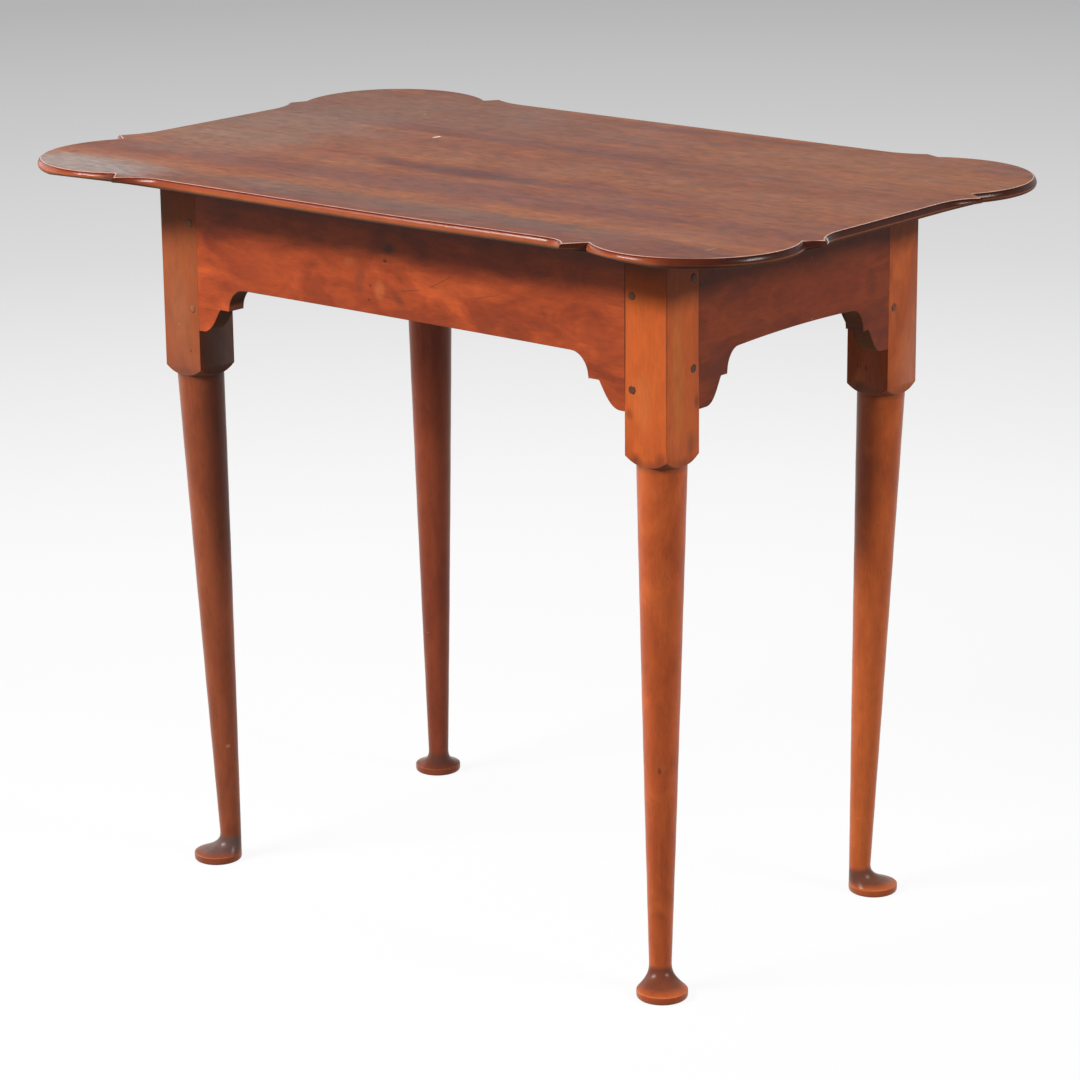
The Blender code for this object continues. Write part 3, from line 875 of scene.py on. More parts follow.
@dataclass
class Legs(Kind):
    """The four legs: square blocks above offset turned shafts on pad feet."""

    slot: ClassVar[Slot] = Slot.LEG
    node: ClassVar[str] = "leg_{}"
    block_length: float = 0.1817
    shoulder_rise: float = 0.0076
    shoulder_curve: float = 1.35
    shoulder_ledge: float = 0.0003
    shaft_diameter: float = 0.0432
    shaft_swell: float = 0.0003
    shaft_root: float = 0.015
    ankle_diameter: float = 0.0200
    ankle_height: float = 0.027
    ankle_curve: float = 2.8
    foot_diameter: float = 0.0452
    rim_height: float = 0.0072
    rim_arris: float = 0.0003
    sole_round: float = 0.0022
    arris: float = 0.0003
    arris_angle: float = 28.0
    belly: float = 0.0001
    belly_height: float = 0.62
    cove_spread: float = 1.4
    tool_ripple: float = 0.00006
    sides: int = 56
    sole_steps: int = 5
    cove_steps: int = 18
    shaft_steps: int = 40
    bell_steps: int = 10
    sharp: float = 32.0

    @property
    def shoulder(self) -> float:
        """Height of the shoulder where the turning starts."""
        return SIZES.top - self.block_length

    def rings(self, axis: Vector, inward: Vector) -> list[tuple[Vector, float]]:
        """Return the rings of the foot and the shaft from the sole up."""
        foot = self.foot_diameter / 2
        ankle = self.ankle_diameter / 2
        shaft = self.shaft_diameter / 2
        lean = foot - ankle
        stations = []
        for step in range(self.sole_steps + 1):
            angle = math.pi / 2 * step / self.sole_steps
            inset = self.sole_round * (1 - math.sin(angle))
            stations.append((self.sole_round * (1 - math.cos(angle)), foot - inset, 0.0))
        stations.append((self.rim_height * self.belly_height, foot + self.belly, 0.0))
        stations.append((self.rim_height - self.rim_arris, foot, 0.0))
        for step in range(self.cove_steps):
            climb = (step / self.cove_steps) ** self.cove_spread
            drawn = 1 - (1 - climb) ** self.ankle_curve
            lift = (self.ankle_height - self.rim_height) * climb
            inset = self.rim_arris if step == 0 else 0.0
            stations.append((self.rim_height + lift, foot - lean * drawn - inset, lean * drawn))
        for step in range(self.shaft_steps + 1):
            climb = step / self.shaft_steps
            swell = self.shaft_swell * 4 * climb * (1 - climb)
            height = self.ankle_height + (self.shoulder - self.ankle_height) * climb
            radius = ankle + (shaft - ankle) * climb + swell + self.ripple(climb)
            stations.append((height, radius, lean * (1 - climb)))
        stations.append((self.shoulder + self.shaft_root, shaft, 0.0))
        return [(axis + inward * aside + Vector((0, 0, height)), radius) for height, radius, aside in stations]

    def ripple(self, climb: float) -> float:
        """Return the waves that the turner's tool left on a shaft, which fade towards both ends."""
        waves = math.sin(61 * climb) + 0.6 * math.sin(23 * climb + 1.0)
        return self.tool_ripple * waves * min(1.0, 8 * climb, 8 * (1 - climb))

    def bell(self, axis: Vector) -> Piece:
        """Return the turned body that rounds the lower corners of a block."""
        inner = self.shaft_diameter / 2 + self.shoulder_ledge
        outer = math.hypot(SIZES.leg_block, SIZES.leg_block) / 2 + SIZES.gap
        rings = [(axis + Vector((0, 0, self.shoulder)), inner)]
        for step in range(1, self.bell_steps + 1):
            out = step / self.bell_steps
            height = self.shoulder + self.shoulder_rise * out**self.shoulder_curve
            rings.append((axis + Vector((0, 0, height)), inner + (outer - inner) * out))
        rings.append((axis + Vector((0, 0, SIZES.top + SIZES.reach)), outer))
        return Bench.turning("shoulder_bell", self.sides, rings)

    def mortise(self, axis: Vector, out: Vector, inward: Vector) -> Piece:
        """Return the cutter for a mortise, open at the block's inner face."""
        half = SIZES.leg_block / 2
        middle = axis - inward * (half - SIZES.rail_middle)
        sideways = inward * (SIZES.tenon_thickness / 2 + SIZES.gap)
        mouth = middle + out * (half + SIZES.reach) + sideways
        end = middle + out * (half - SIZES.tenon_length - SIZES.gap) - sideways
        mouth.z = SIZES.top - SIZES.tip_depth + SIZES.tenon_tip_shoulder - SIZES.gap
        end.z = SIZES.top - SIZES.tenon_top_shoulder + SIZES.gap
        return Bench.block("mortise", Vector(map(min, mouth, end)), Vector(map(max, mouth, end)))

    def build(self) -> None:
        """Model the front right leg and copy it to the other corners."""
        corner = Corner.FRONT_RIGHT
        axis = SIZES.axis(corner)
        inward = Vector((-corner.right, -corner.back, 0.0)).normalized()
        half = Vector((SIZES.leg_block / 2, SIZES.leg_block / 2, 0.0))
        low = axis - half + Vector((0, 0, self.shoulder - SIZES.reach))
        leg = Bench.block("leg", low, axis + half + Vector((0, 0, SIZES.top)))
        Bench.combine(leg, "INTERSECT", self.bell(axis))
        angle = math.radians(self.arris_angle)
        Bench.modify(leg, "BEVEL", width=self.arris, segments=3, limit_method="ANGLE", angle_limit=angle)
        Bench.combine(leg, "UNION", Bench.turning("shaft", self.sides, self.rings(axis, inward)))
        for out, peg_inward, _, depths in SIZES.joints(corner):
            Bench.combine(leg, "DIFFERENCE", self.mortise(axis, out, peg_inward))
            for depth in depths:
                start = SIZES.peg_start(corner, out, peg_inward, depth)
                Bench.combine(leg, "DIFFERENCE", peg_drill(start, peg_inward))
        Bench.finish(leg, self.sharp)
        for corner in Corner:
            mirror = Matrix.Diagonal((corner.right, -corner.back, 1.0, 1.0))
            self.pieces[corner.place] = Bench.copy(leg, f"turned_leg_{corner.place}", mirror)
        bpy.data.meshes.remove(leg.data)


@dataclass(frozen=True)
class Scallop:
    """The sawn lower edge of a rail: tip, ogee, step and cove along its length, and the middle's rise."""

    tip: float
    ogee: float
    step: float
    cove: float
    arch_rise: float


@dataclass
class Rails(Kind):
    """The four rails between the leg blocks, with scalloped lower edges and tenons."""

    slot: ClassVar[Slot] = Slot.RAIL
    node: ClassVar[str] = "rail_{}"
    joint_gap: float = 0.00006
    depth: float = 0.0925
    step_depth: float = 0.114
    ogee_lean: float = 0.005
    ogee_drop: float = 0.008
    ogee_sweep: float = 0.011
    arris: float = 0.0006
    arris_angle: float = 30.0
    sharp: float = 32.0
    long_scallop: Scallop = Scallop(0.005, 0.0225, 0.0115, 0.019, 0.0005)
    short_scallop: Scallop = Scallop(0.010, 0.0205, 0.0085, 0.016, 0.0020)
    curve_steps: int = 14
    arch_steps: int = 24

    def end_profile(self, scallop: Scallop) -> list[Flat]:
        """Return the lower edge of a rail's end, from the tip beside the leg to the middle."""
        start = (scallop.tip + scallop.ogee, -self.step_depth)
        end = (scallop.tip, -SIZES.tip_depth)
        leave = (start[0] - self.ogee_lean, start[1] - self.ogee_drop)
        arrive = (end[0] + self.ogee_sweep, end[1])
        spots = (start, leave, arrive, end)
        curve = []
        for step in range(self.curve_steps + 1):
            along = step / self.curve_steps
            weights = ((1 - along) ** 3, 3 * along * (1 - along) ** 2, 3 * along**2 * (1 - along), along**3)
            curve.append(tuple(sum(w * spot[axis] for w, spot in zip(weights, spots)) for axis in (0, 1)))
        points = [(0.0, -SIZES.tip_depth)] + curve[::-1]
        cove_end = start[0] + scallop.step + scallop.cove
        for step in range(self.curve_steps + 1):
            angle = math.pi * (1 - step / self.curve_steps / 2)
            rise = (self.step_depth - self.depth) * math.sin(angle)
            points.append((cove_end + scallop.cove * math.cos(angle), -self.step_depth + rise))
        return points

    def profile(self, length: float, scallop: Scallop) -> list[Flat]:
        """Return the whole lower edge of a rail from its left shoulder to its right one."""
        half = length / 2
        left = [(-half + along, height) for along, height in self.end_profile(scallop)]
        start = left[-1][0]
        middle = []
        for step in range(1, self.arch_steps):
            across = step / self.arch_steps
            rise = scallop.arch_rise * 4 * across * (1 - across)
            middle.append((start * (1 - 2 * across), -self.depth + rise))
        return left + middle + [(-along, height) for along, height in reversed(left)]

    def tenon(self, length: float, way: int) -> Piece:
        """Return one tenon of a rail that lies along X around the origin."""
        root = way * (length / 2 - SIZES.reach)
        tip = way * (length / 2 + SIZES.tenon_length - SIZES.gap)
        half = SIZES.tenon_thickness / 2
        low = Vector((min(root, tip), -half, -SIZES.tip_depth + SIZES.tenon_tip_shoulder))
        high = Vector((max(root, tip), half, -SIZES.tenon_top_shoulder))
        return Bench.block("tenon", low, high)

    def model(self, name: str, length: float, scallop: Scallop, pegs: Flat) -> Piece:
        """Return a rail along X, its outer face towards -Y and its top edge at height zero.

        Args:
            name: The rail's name.
            length: The length between its shoulders.
            scallop: The shape of its lower edge.
            pegs: The depths of its pegs below the top edge.

        Returns:
            The rail.
        """
        profile = self.profile(length, scallop)
        last = len(profile) - 1
        half = SIZES.rail_thickness / 2
        Bench.clear()
        bpy.ops.mesh.primitive_grid_add(x_subdivisions=last, y_subdivisions=1, size=1.0)
        rail = Bench.take(name)

        def saw(spot: Vector) -> Vector:
            """Return where a point of the plain grid goes on the sawn face."""
            along, height = profile[round((spot.x + 0.5) * last)]
            return Vector((along, -half, 0.0 if spot.y > 0 else height))

        def rubbed(edge: bmesh.types.BMEdge) -> bool:
            """Say whether an edge is an arris that hands have rubbed, and not one at a shoulder."""
            turns = edge.calc_face_angle(0.0) > math.radians(self.arris_angle)
            return turns and not all(abs(corner.co.x) > length / 2 - Bench.MERGE for corner in edge.verts)

        Bench.place(rail, saw)
        Bench.edit(rail, Element.FACE, everything=True)
        bpy.ops.mesh.extrude_region_move(TRANSFORM_OT_translate={"value": (0.0, 2 * half, 0.0)})
        Bench.face_out()
        Bench.pick(rail, Element.EDGE, rubbed)
        bpy.ops.mesh.bevel(offset=self.arris, segments=2, affect="EDGES", clamp_overlap=True)
        Bench.clear()
        for way in (-1, 1):
            Bench.combine(rail, "UNION", self.tenon(length, way))
            for depth in pegs:
                from_end = length / 2 + self.joint_gap + SIZES.peg_from_shoulder
                start = Vector((way * from_end, -SIZES.rail_middle, -depth))
                Bench.combine(rail, "DIFFERENCE", peg_drill(start, Vector((0, 1, 0))))
        Bench.finish(rail, self.sharp)
        return rail

    def build(self) -> None:
        """Model a long and a short rail, and copy each to both of its sides."""
        long_length = SIZES.length - 2 * SIZES.leg_block - 2 * self.joint_gap
        short_length = SIZES.width - 2 * SIZES.leg_block - 2 * self.joint_gap
        reach_x = SIZES.length / 2 - SIZES.rail_middle
        reach_y = SIZES.width / 2 - SIZES.rail_middle
        long_rail = self.model("long_rail", long_length, self.long_scallop, SIZES.long_pegs)
        short_rail = self.model("short_rail", short_length, self.short_scallop, SIZES.short_pegs)
        sides = {
            "front": (long_rail, 0.0, reach_y),
            "right": (short_rail, math.pi / 2, reach_x),
            "rear": (long_rail, math.pi, reach_y),
            "left": (short_rail, -math.pi / 2, reach_x),
        }
        for side, (blank, turn, reach) in sides.items():
            place = Matrix.Rotation(turn, 4, "Z") @ Matrix.Translation((0.0, -reach, SIZES.top))
            self.pieces[side] = Bench.copy(blank, f"scalloped_rail_{side}", place)
        for blank in (long_rail, short_rail):
            bpy.data.meshes.remove(blank.data)


@dataclass
class Pegs(Kind):
    """The sixteen whittled pegs that lock the joints, their ends rubbed nearly flush."""

    slot: ClassVar[Slot] = Slot.PEG
    node: ClassVar[str] = "peg_{}"
    proud: float = 0.00035
    end_width: float = 0.55
    end_round: float = 0.72
    end_shoulder: float = 0.86
    taper: float = 0.00004
    tip_from: float = 0.8
    tip_gap: float = 0.0004
    tip_width: float = 0.9
    whittle: float = 0.00016
    facets: int = 7
    turn_each: float = 1.1
    sharp: float = 40.0

    def model(self) -> Piece:
        """Return a peg that starts at the origin and runs along +Z."""
        radius = SIZES.peg_diameter / 2
        stations = (
            (-self.proud, radius * self.end_width),
            (-self.proud * self.end_round, radius * self.end_shoulder),
            (0.0, radius - self.taper),
            (SIZES.peg_length * self.tip_from, radius - 2 * self.taper),
            (SIZES.peg_length - self.tip_gap, radius * self.tip_width),
        )
        rings = [(Vector((0, 0, height)), width) for height, width in stations]
        peg = Bench.turning("peg", SIZES.peg_sides, rings)

        def whittled(spot: Vector) -> Vector:
            """Return where the knife's facets take a point of the round peg."""
            facet = math.cos(self.facets * math.atan2(spot.y, spot.x)) * self.whittle
            out = Vector((spot.x, spot.y, 0.0))
            return spot + out.normalized() * (facet - self.whittle) * min(1.0, out.length / radius)

        Bench.place(peg, whittled)
        Bench.finish(peg, self.sharp)
        return peg

    def build(self) -> None:
        """Model one peg and copy it into each hole, each turned its own way."""
        peg = self.model()
        for corner in Corner:
            for out, inward, side, depths in SIZES.joints(corner):
                for level, depth in zip(("upper", "lower"), depths):
                    start = SIZES.peg_start(corner, out, inward, depth)
                    turn = inward.to_track_quat("Z", "Y").to_matrix().to_4x4()
                    spin = Matrix.Rotation(self.turn_each * len(self.pieces), 4, "Z")
                    name = f"{corner.place}_{side}_{level}"
                    place = Matrix.Translation(start) @ turn @ spin
                    self.pieces[name] = Bench.copy(peg, f"whittled_peg_{name}", place)
        bpy.data.meshes.remove(peg.data)


@dataclass(frozen=True)
class Notches:
    """A corner's two notches: how far from the top's end and side, and their cusps' run, reach and flare."""

    from_end: float
    side_run: float
    side_reach: float
    from_side: float
    end_run: float
    end_reach: float = 0.0125
    side_flare: float = 0.040
    end_flare: float = 0.039
    side_tuck: float = 0.0


@dataclass
class Top(Kind):
    """The lobed top of two boards, with a bullnose edge and a bevelled underside."""

    slot: ClassVar[Slot] = Slot.TOP
    node: ClassVar[str] = "top_{}_board"
    length: float = 0.790
    width: float = 0.495
    edge_thickness: float = 0.0088
    bevel_start: float = 0.008
    bevel_width: float = 0.042
    bevel_corner: float = 0.060
    seam: float = 0.027
    lobe_radius: float = 0.090
    lobe_past_end: float = 0.012
    lobe_past_side: float = 0.0155
    cusp_taper: float = 0.42
    lobe_taper: float = 0.24
    taper_from: float = 0.4 * math.pi
    mitre: float = 0.6
    shift: Flat = (-0.0050, -0.0038)
    lift: float = 0.0008
    warp: float = 0.0022
    warp_inset: float = 0.06
    warp_run: Flat = (0.18, 0.145)
    warp_limit: float = 1.2
    slack_corner: float = 0.2
    arris: float = 0.0007
    arris_drop: float = 0.4
    bow: float = 0.0021
    bow_middle: float = 0.235
    bow_spread: float = 0.12
    bow_reach: float = 0.24
    nose_start: float = -90.0
    nose_end: float = 62.0
    flat_from: float = 19.0
    flat_to: float = 29.0
    flatness: float = 4.0
    sharp: float = 38.0
    nose_steps: int = 7
    flat_steps: int = 4
    lobe_steps: int = 40
    flare_steps: int = 14
    grid: float = 0.030
    notches: tuple[tuple[Corner, Notches], ...] = (
        (Corner.REAR_RIGHT, Notches(0.1222, 0.0150, 0.0105, 0.1243, 0.0115)),
        (Corner.REAR_LEFT, Notches(0.1346, 0.0088, 0.0090, 0.1086, 0.0148)),
        (Corner.FRONT_LEFT, Notches(0.1264, 0.0133, 0.0165, 0.1259, 0.0130)),
        (
            Corner.FRONT_RIGHT,
            Notches(0.1262, 0.0134, 0.0121, 0.1184, 0.0131, side_flare=0.026, side_tuck=0.0070),
        ),
    )

    @staticmethod
    def flare(length: float, reach: float, steps: int) -> list[Flat]:
        """Return a hollow curve from (0, 0), level at first, that climbs to (length, reach)."""
        radius = (length**2 + reach**2) / (2 * reach)
        end = math.asin(length / radius)
        angles = [end * step / steps for step in range(steps + 1)]
        return [(radius * math.sin(angle), radius * (1 - math.cos(angle))) for angle in angles]

    def quarter(self, notches: Notches) -> list[Point]:
        """Return a corner's outline from the short side to the long side, and how thin its edge is there.

        Args:
            notches: The corner's notches.

        Returns:
            Each point's place, as if X and Y were positive, and the share that its edge lacks.
        """
        end = self.length / 2
        side = self.width / 2
        lobe_x = end + self.lobe_past_end - self.lobe_radius
        lobe_y = side + self.lobe_past_side - self.lobe_radius
        end_notch = side - notches.from_side
        side_notch = end - notches.from_end
        start = math.asin((end_notch - lobe_y) / self.lobe_radius)
        finish = math.acos((side_notch - lobe_x) / self.lobe_radius)
        points = []
        for along, out in self.flare(notches.end_flare, notches.end_reach, self.flare_steps):
            thin = self.cusp_taper * out / notches.end_reach
            points.append((end + out, end_notch - notches.end_run - notches.end_flare + along, thin))
        for step in range(self.lobe_steps + 1):
            angle = start + (finish - start) * step / self.lobe_steps
            late = max(0.0, angle - self.taper_from) / (finish - self.taper_from)
            across = lobe_x + self.lobe_radius * math.cos(angle)
            up = lobe_y + self.lobe_radius * math.sin(angle) - notches.side_tuck * late**2
            points.append((across, up, self.lobe_taper * 4 * late * (1 - late)))
        for along, out in reversed(self.flare(notches.side_flare, notches.side_reach, self.flare_steps)):
            thin = self.cusp_taper * out / notches.side_reach
            points.append((side_notch - notches.side_run - notches.side_flare + along, side + out, thin))
        return points

    def outline(self) -> list[Point]:
        """Return the outline, counter-clockwise from the right-hand end, and what the edge lacks there."""
        whole = []
        for corner, notches in self.notches:
            quarter = self.quarter(notches)
            if corner.right != corner.back:
                quarter.reverse()
            whole += [(corner.right * across, corner.back * up, thin) for across, up, thin in quarter]
        return whole

    def nose(self) -> list[Flat]:
        """Return the edge's section from the underside up: how far out and how high each point is."""
        turns = (
            (self.nose_start, self.flat_from, self.nose_steps, 1.0),
            (self.flat_from, self.flat_to, self.flat_steps, self.flatness),
            (self.flat_to, self.nose_end, self.flat_steps, 1.0),
        )
        spots = [(0.0, 0.0)]
        for start, end, steps, radius in turns:
            for step in range(steps):
                first = math.radians(start + (end - start) * step / steps)
                last = math.radians(start + (end - start) * (step + 1) / steps)
                out = spots[-1][0] + radius * (math.cos(last) - math.cos(first))
                spots.append((out, spots[-1][1] + radius * (math.sin(last) - math.sin(first))))
        scale = (self.edge_thickness - self.arris_drop * self.arris) / spots[-1][1]
        widest = max(out for out, _ in spots)
        return [((out - widest) * scale + self.edge_thickness / 2, up * scale) for out, up in spots]

    def outward(self, outline: list[Vector]) -> list[Vector]:
        """Return the mitred way out of the outline at each of its points."""
        ways = []
        for number, spot in enumerate(outline):
            before = (spot - outline[number - 1]).normalized()
            after = (outline[(number + 1) % len(outline)] - spot).normalized()
            first = Vector((before.y, -before.x, 0.0))
            second = Vector((after.y, -after.x, 0.0))
            middle = (first + second).normalized()
            ways.append(middle / max(self.mitre, middle.dot(first)))
        return ways

    def panel(self, spot: Vector, inset: float, height: float) -> Vector:
        """Return the point of the underside's raised panel that faces an outline point."""
        core_x = self.length / 2 - self.bevel_start - inset - self.bevel_corner
        core_y = self.width / 2 - self.bevel_start - inset - self.bevel_corner
        across, up = max(-core_x, min(core_x, spot.x)), max(-core_y, min(core_y, spot.y))
        core = Vector((across, up, 0.0))
        edge = core + (spot - core).normalized() * self.bevel_corner
        return Vector((edge.x, edge.y, height))

    def rings(self) -> list[list[Vector]]:
        """Return the sections of the top from the underside's panel round the edge to the upper surface."""
        points = self.outline()
        outline = [Vector((across, up, 0.0)) for across, up, _ in points]
        full = [1 - thin for *_, thin in points]
        ways = self.outward(outline)
        under = SIZES.height - SIZES.top_thickness
        rings = [[self.panel(spot, self.bevel_width, under) for spot in outline]]
        rings.append([self.panel(spot, 0.0, SIZES.height - self.edge_thickness) for spot in outline])
        for out, up in self.nose():
            drop = self.edge_thickness - up
            heights = [Vector((0, 0, SIZES.height - drop * share)) for share in full]
            rings.append([spot + way * out + height for spot, way, height in zip(outline, ways, heights)])
        for inset in (self.arris, 2 * self.arris):
            up = Vector((0, 0, SIZES.height))
            rings.append([spot + way * (out - inset) + up for spot, way in zip(outline, ways)])
        return rings

    def warped(self, spot: Vector) -> Vector:
        """Return where the old boards' shift and warp take a point of the true top."""
        past_x = max(0.0, abs(spot.x) - SIZES.length / 2 + self.warp_inset) / self.warp_run[0]
        past_y = max(0.0, abs(spot.y) - SIZES.width / 2 + self.warp_inset) / self.warp_run[1]
        warp = self.warp * min(self.warp_limit, past_x) * min(self.warp_limit, past_y)
        sprung = 1.0 if spot.x * spot.y < 0 else self.slack_corner
        under = SIZES.height - SIZES.top_thickness
        above = min(1.0, (spot.z - under) / (SIZES.top_thickness - self.edge_thickness))
        hump = math.exp(-(((spot.x - self.bow_middle) / self.bow_spread) ** 2))
        bow = self.bow * hump * max(0.0, min(1.0, -spot.y / self.bow_reach))
        return spot + Vector((*self.shift, above * (self.lift + bow) + sprung * warp))

    def blank(self) -> Piece:
        """Return the whole top before it is split into its boards."""
        rings = self.rings()
        count = len(rings[0])
        Bench.clear()
        bpy.ops.mesh.primitive_circle_add(vertices=count, radius=self.width / 2, fill_type="NGON")
        top = Bench.take("top_blank")
        for corner, spot in zip(top.data.vertices, rings[0]):
            corner.co = spot
        numbers = top.data.attributes.new("spot", "INT", "POINT")
        for number, row in enumerate(numbers.data):
            row.value = number
        Bench.edit(top, Element.FACE, everything=True)
        for ring in rings[1:]:
            bpy.ops.mesh.extrude_region_move(TRANSFORM_OT_translate={"value": (0.0, 0.0, 0.0001)})
            shape = bmesh.from_edit_mesh(top.data)
            layer = shape.verts.layers.int["spot"]
            for corner in shape.verts:
                if corner.select:
                    corner.co = ring[corner[layer]]
            bmesh.update_edit_mesh(top.data)
        Bench.face_out()
        for way, reach in ((Vector((1, 0, 0)), self.length), (Vector((0, 1, 0)), self.width)):
            cuts = int(reach / self.grid)
            for cut in range(cuts + 1):
                bpy.ops.mesh.select_all(action="SELECT")
                bpy.ops.mesh.bisect(plane_co=way * ((cut - cuts / 2) * self.grid), plane_no=way)
        Bench.clear()
        top.data.attributes.remove(top.data.attributes["spot"])
        return top

    def build(self) -> None:
        """Model the top, split it along the seam and let its boards warp."""
        top = self.blank()
        for board, way in (("front", 1), ("rear", -1)):
            piece = Bench.copy(top, f"lobed_board_{board}", Matrix.Identity(4))
            Bench.edit(piece, Element.FACE, everything=True)
            bpy.ops.mesh.bisect(
                plane_co=(0, self.seam, 0), plane_no=(0, way, 0), use_fill=True, clear_outer=True
            )
            Bench.clear()
            Bench.place(piece, self.warped)
            Bench.finish(piece, self.sharp)
            self.pieces[board] = piece
        bpy.data.meshes.remove(top.data)


@dataclass(frozen=True)
class Softbox:
    """A soft lamp: its bearing from the front, its height angle, its distance, its size and its power."""

    name: str
    bearing: float
    height: float
    distance: float
    width: float
    tall: float
    power: float


@dataclass
class Studio:
    """The pale floor, the soft lamps and the camera."""

    aim: Point = (0.0, 0.0, 0.55)
    floor_radius: float = 30.0
    floor_sides: int = 96
    camera_bearing: float = 39.852
    camera_height: float = 16.134
    camera_roll: float = -0.570
    camera_distance: float = 3.39796
    camera_aside: Flat = (0.002244, -0.009928)
    lens: float = 122.467
    sensor: float = 36.0
    sight: float = 100.0
    world_light: float = 0.28
    world_grey: float = 169
    low_walls: Colour = (0.60, 0.595, 0.59)
    high_walls: Colour = (0.12, 0.12, 0.12)
    walls_fade: Flat = (0.15, 0.85)
    bounce_grey: float = 104
    paper_reach: float = 10.0
    paper_greys: tuple[Flat, ...] = (
        (0.0, 255), (0.35, 255), (1.16, 252), (1.46, 249), (2.19, 237), (2.97, 222), (4.30, 205),
        (6.1, 183), (9.0, 172),
    )
    paper_shadow: float = 0.08
    paper_fibres: float = 900.0
    paper_figure: float = 0.06
    paper_pale: float = 236
    paper_dark: float = 214
    softboxes: tuple[Softbox, ...] = (
        Softbox("left_softbox", -26.8, 32.6, 2.8, 1.30, 0.36, 95.0),
        Softbox("right_softbox", 100.0, 24.7, 2.8, 0.9, 0.34, 38.0),
        Softbox("side_softbox", -84.0, 16.0, 2.8, 2.2, 1.50, 15.0),
    )

    @staticmethod
    def direction(bearing: float, height: float) -> Vector:
        """Return the unit vector towards a bearing from the front and a height angle, in degrees."""
        turn, lift = math.radians(bearing), math.radians(height)
        return Vector((math.sin(turn) * math.cos(lift), -math.cos(turn) * math.cos(lift), math.sin(lift)))

    def place_camera(self) -> None:
        """Put the camera where the photograph was taken from."""
        data = bpy.data.cameras.new("camera")
        data.sensor_width = self.sensor
        data.lens = self.lens
        data.clip_end = self.sight
        camera = bpy.data.objects.new("camera", data)
        bpy.context.scene.collection.objects.link(camera)
        back = self.direction(self.camera_bearing, self.camera_height)
        turn, roll = math.radians(self.camera_bearing), math.radians(self.camera_roll)
        level = Vector((math.cos(turn), math.sin(turn), 0.0))
        rise = back.cross(level)
        right = level * math.cos(roll) + rise * math.sin(roll)
        up = rise * math.cos(roll) - level * math.sin(roll)
        spot = Vector((0.0, 0.0, SIZES.height / 2)) + back * self.camera_distance
        spot += right * self.camera_aside[0] + up * self.camera_aside[1]
        place = Matrix((right, up, back)).transposed().to_4x4()
        place.translation = spot
        camera.matrix_world = place
        bpy.context.scene.camera = camera

    def place_lamps(self) -> None:
        """Hang the soft lamps round the table."""
        for box in self.softboxes:
            data = bpy.data.lights.new(box.name, "AREA")
            data.shape = "RECTANGLE"
            data.size = box.width
            data.size_y = box.tall
            data.energy = box.power
            lamp = bpy.data.objects.new(box.name, data)
            bpy.context.scene.collection.objects.link(lamp)
            way = self.direction(box.bearing, box.height)
            lamp.location = Vector(self.aim) + way * box.distance
            lamp.rotation_euler = way.to_track_quat("Z", "Y").to_euler()
            lamp.visible_camera = False

    def pale_paper(self) -> bpy.types.Material:
        """Return the floor's paper: white by the table, greyer far off, with a faint shadow."""
        made = bpy.data.materials.new("pale_paper")
        graph = Graph.of(made)
        place = graph.add("ShaderNodeTexCoord").outputs["Object"]
        away = graph.times(graph.vector("LENGTH", place), 1 / self.paper_reach)
        stops = [(reach / self.paper_reach, (level, level, level)) for reach, level in self.paper_greys]
        glow = {"Color": graph.ramp(away, stops, "LINEAR"), "Strength": 1.0}
        shown = graph.add("ShaderNodeEmission", glow).outputs[0]
        path = graph.add("ShaderNodeLightPath").outputs
        seen = graph.math("MAXIMUM", path["Is Camera Ray"], path["Is Glossy Ray"])
        seen = graph.math("MAXIMUM", seen, path["Is Transmission Ray"])
        fibre = graph.times(graph.noise(place, self.paper_fibres, 2.0), self.paper_figure)
        paper = graph.mix(fibre, grey(self.paper_pale), grey(self.paper_dark))
        paper = graph.mix(seen, grey(self.bounce_grey), paper)
        lit = graph.add("ShaderNodeBsdfDiffuse", {"Color": paper}).outputs[0]
        share = graph.times(seen, 1 - self.paper_shadow)
        both = graph.add("ShaderNodeMixShader", {0: share, 1: lit, 2: shown}).outputs[0]
        clear = graph.add("ShaderNodeBsdfTransparent").outputs[0]
        behind = graph.add("ShaderNodeNewGeometry").outputs["Backfacing"]
        whole = graph.add("ShaderNodeMixShader", {0: behind, 1: both, 2: clear}).outputs[0]
        graph.add("ShaderNodeOutputMaterial", {"Surface": whole})
        return made

    def lay_floor(self) -> None:
        """Lay the round sheet of paper that the table stands on."""
        Bench.clear()
        bpy.ops.mesh.primitive_circle_add(vertices=self.floor_sides, radius=self.floor_radius, fill_type="NGON")
        floor = Bench.take("paper_floor")
        floor.data.materials.append(self.pale_paper())

    def light_world(self) -> None:
        """Fill the room with a little even light, and show it grey to the camera and in reflections."""
        world = bpy.data.worlds.new("studio_room")
        bpy.context.scene.world = world
        graph = Graph.of(world)

        def glow(colour: object, strength: float = 1.0) -> Socket:
            """Return an even light of one colour or of a socket's."""
            return graph.add("ShaderNodeBackground", {"Color": colour, "Strength": strength}).outputs[0]

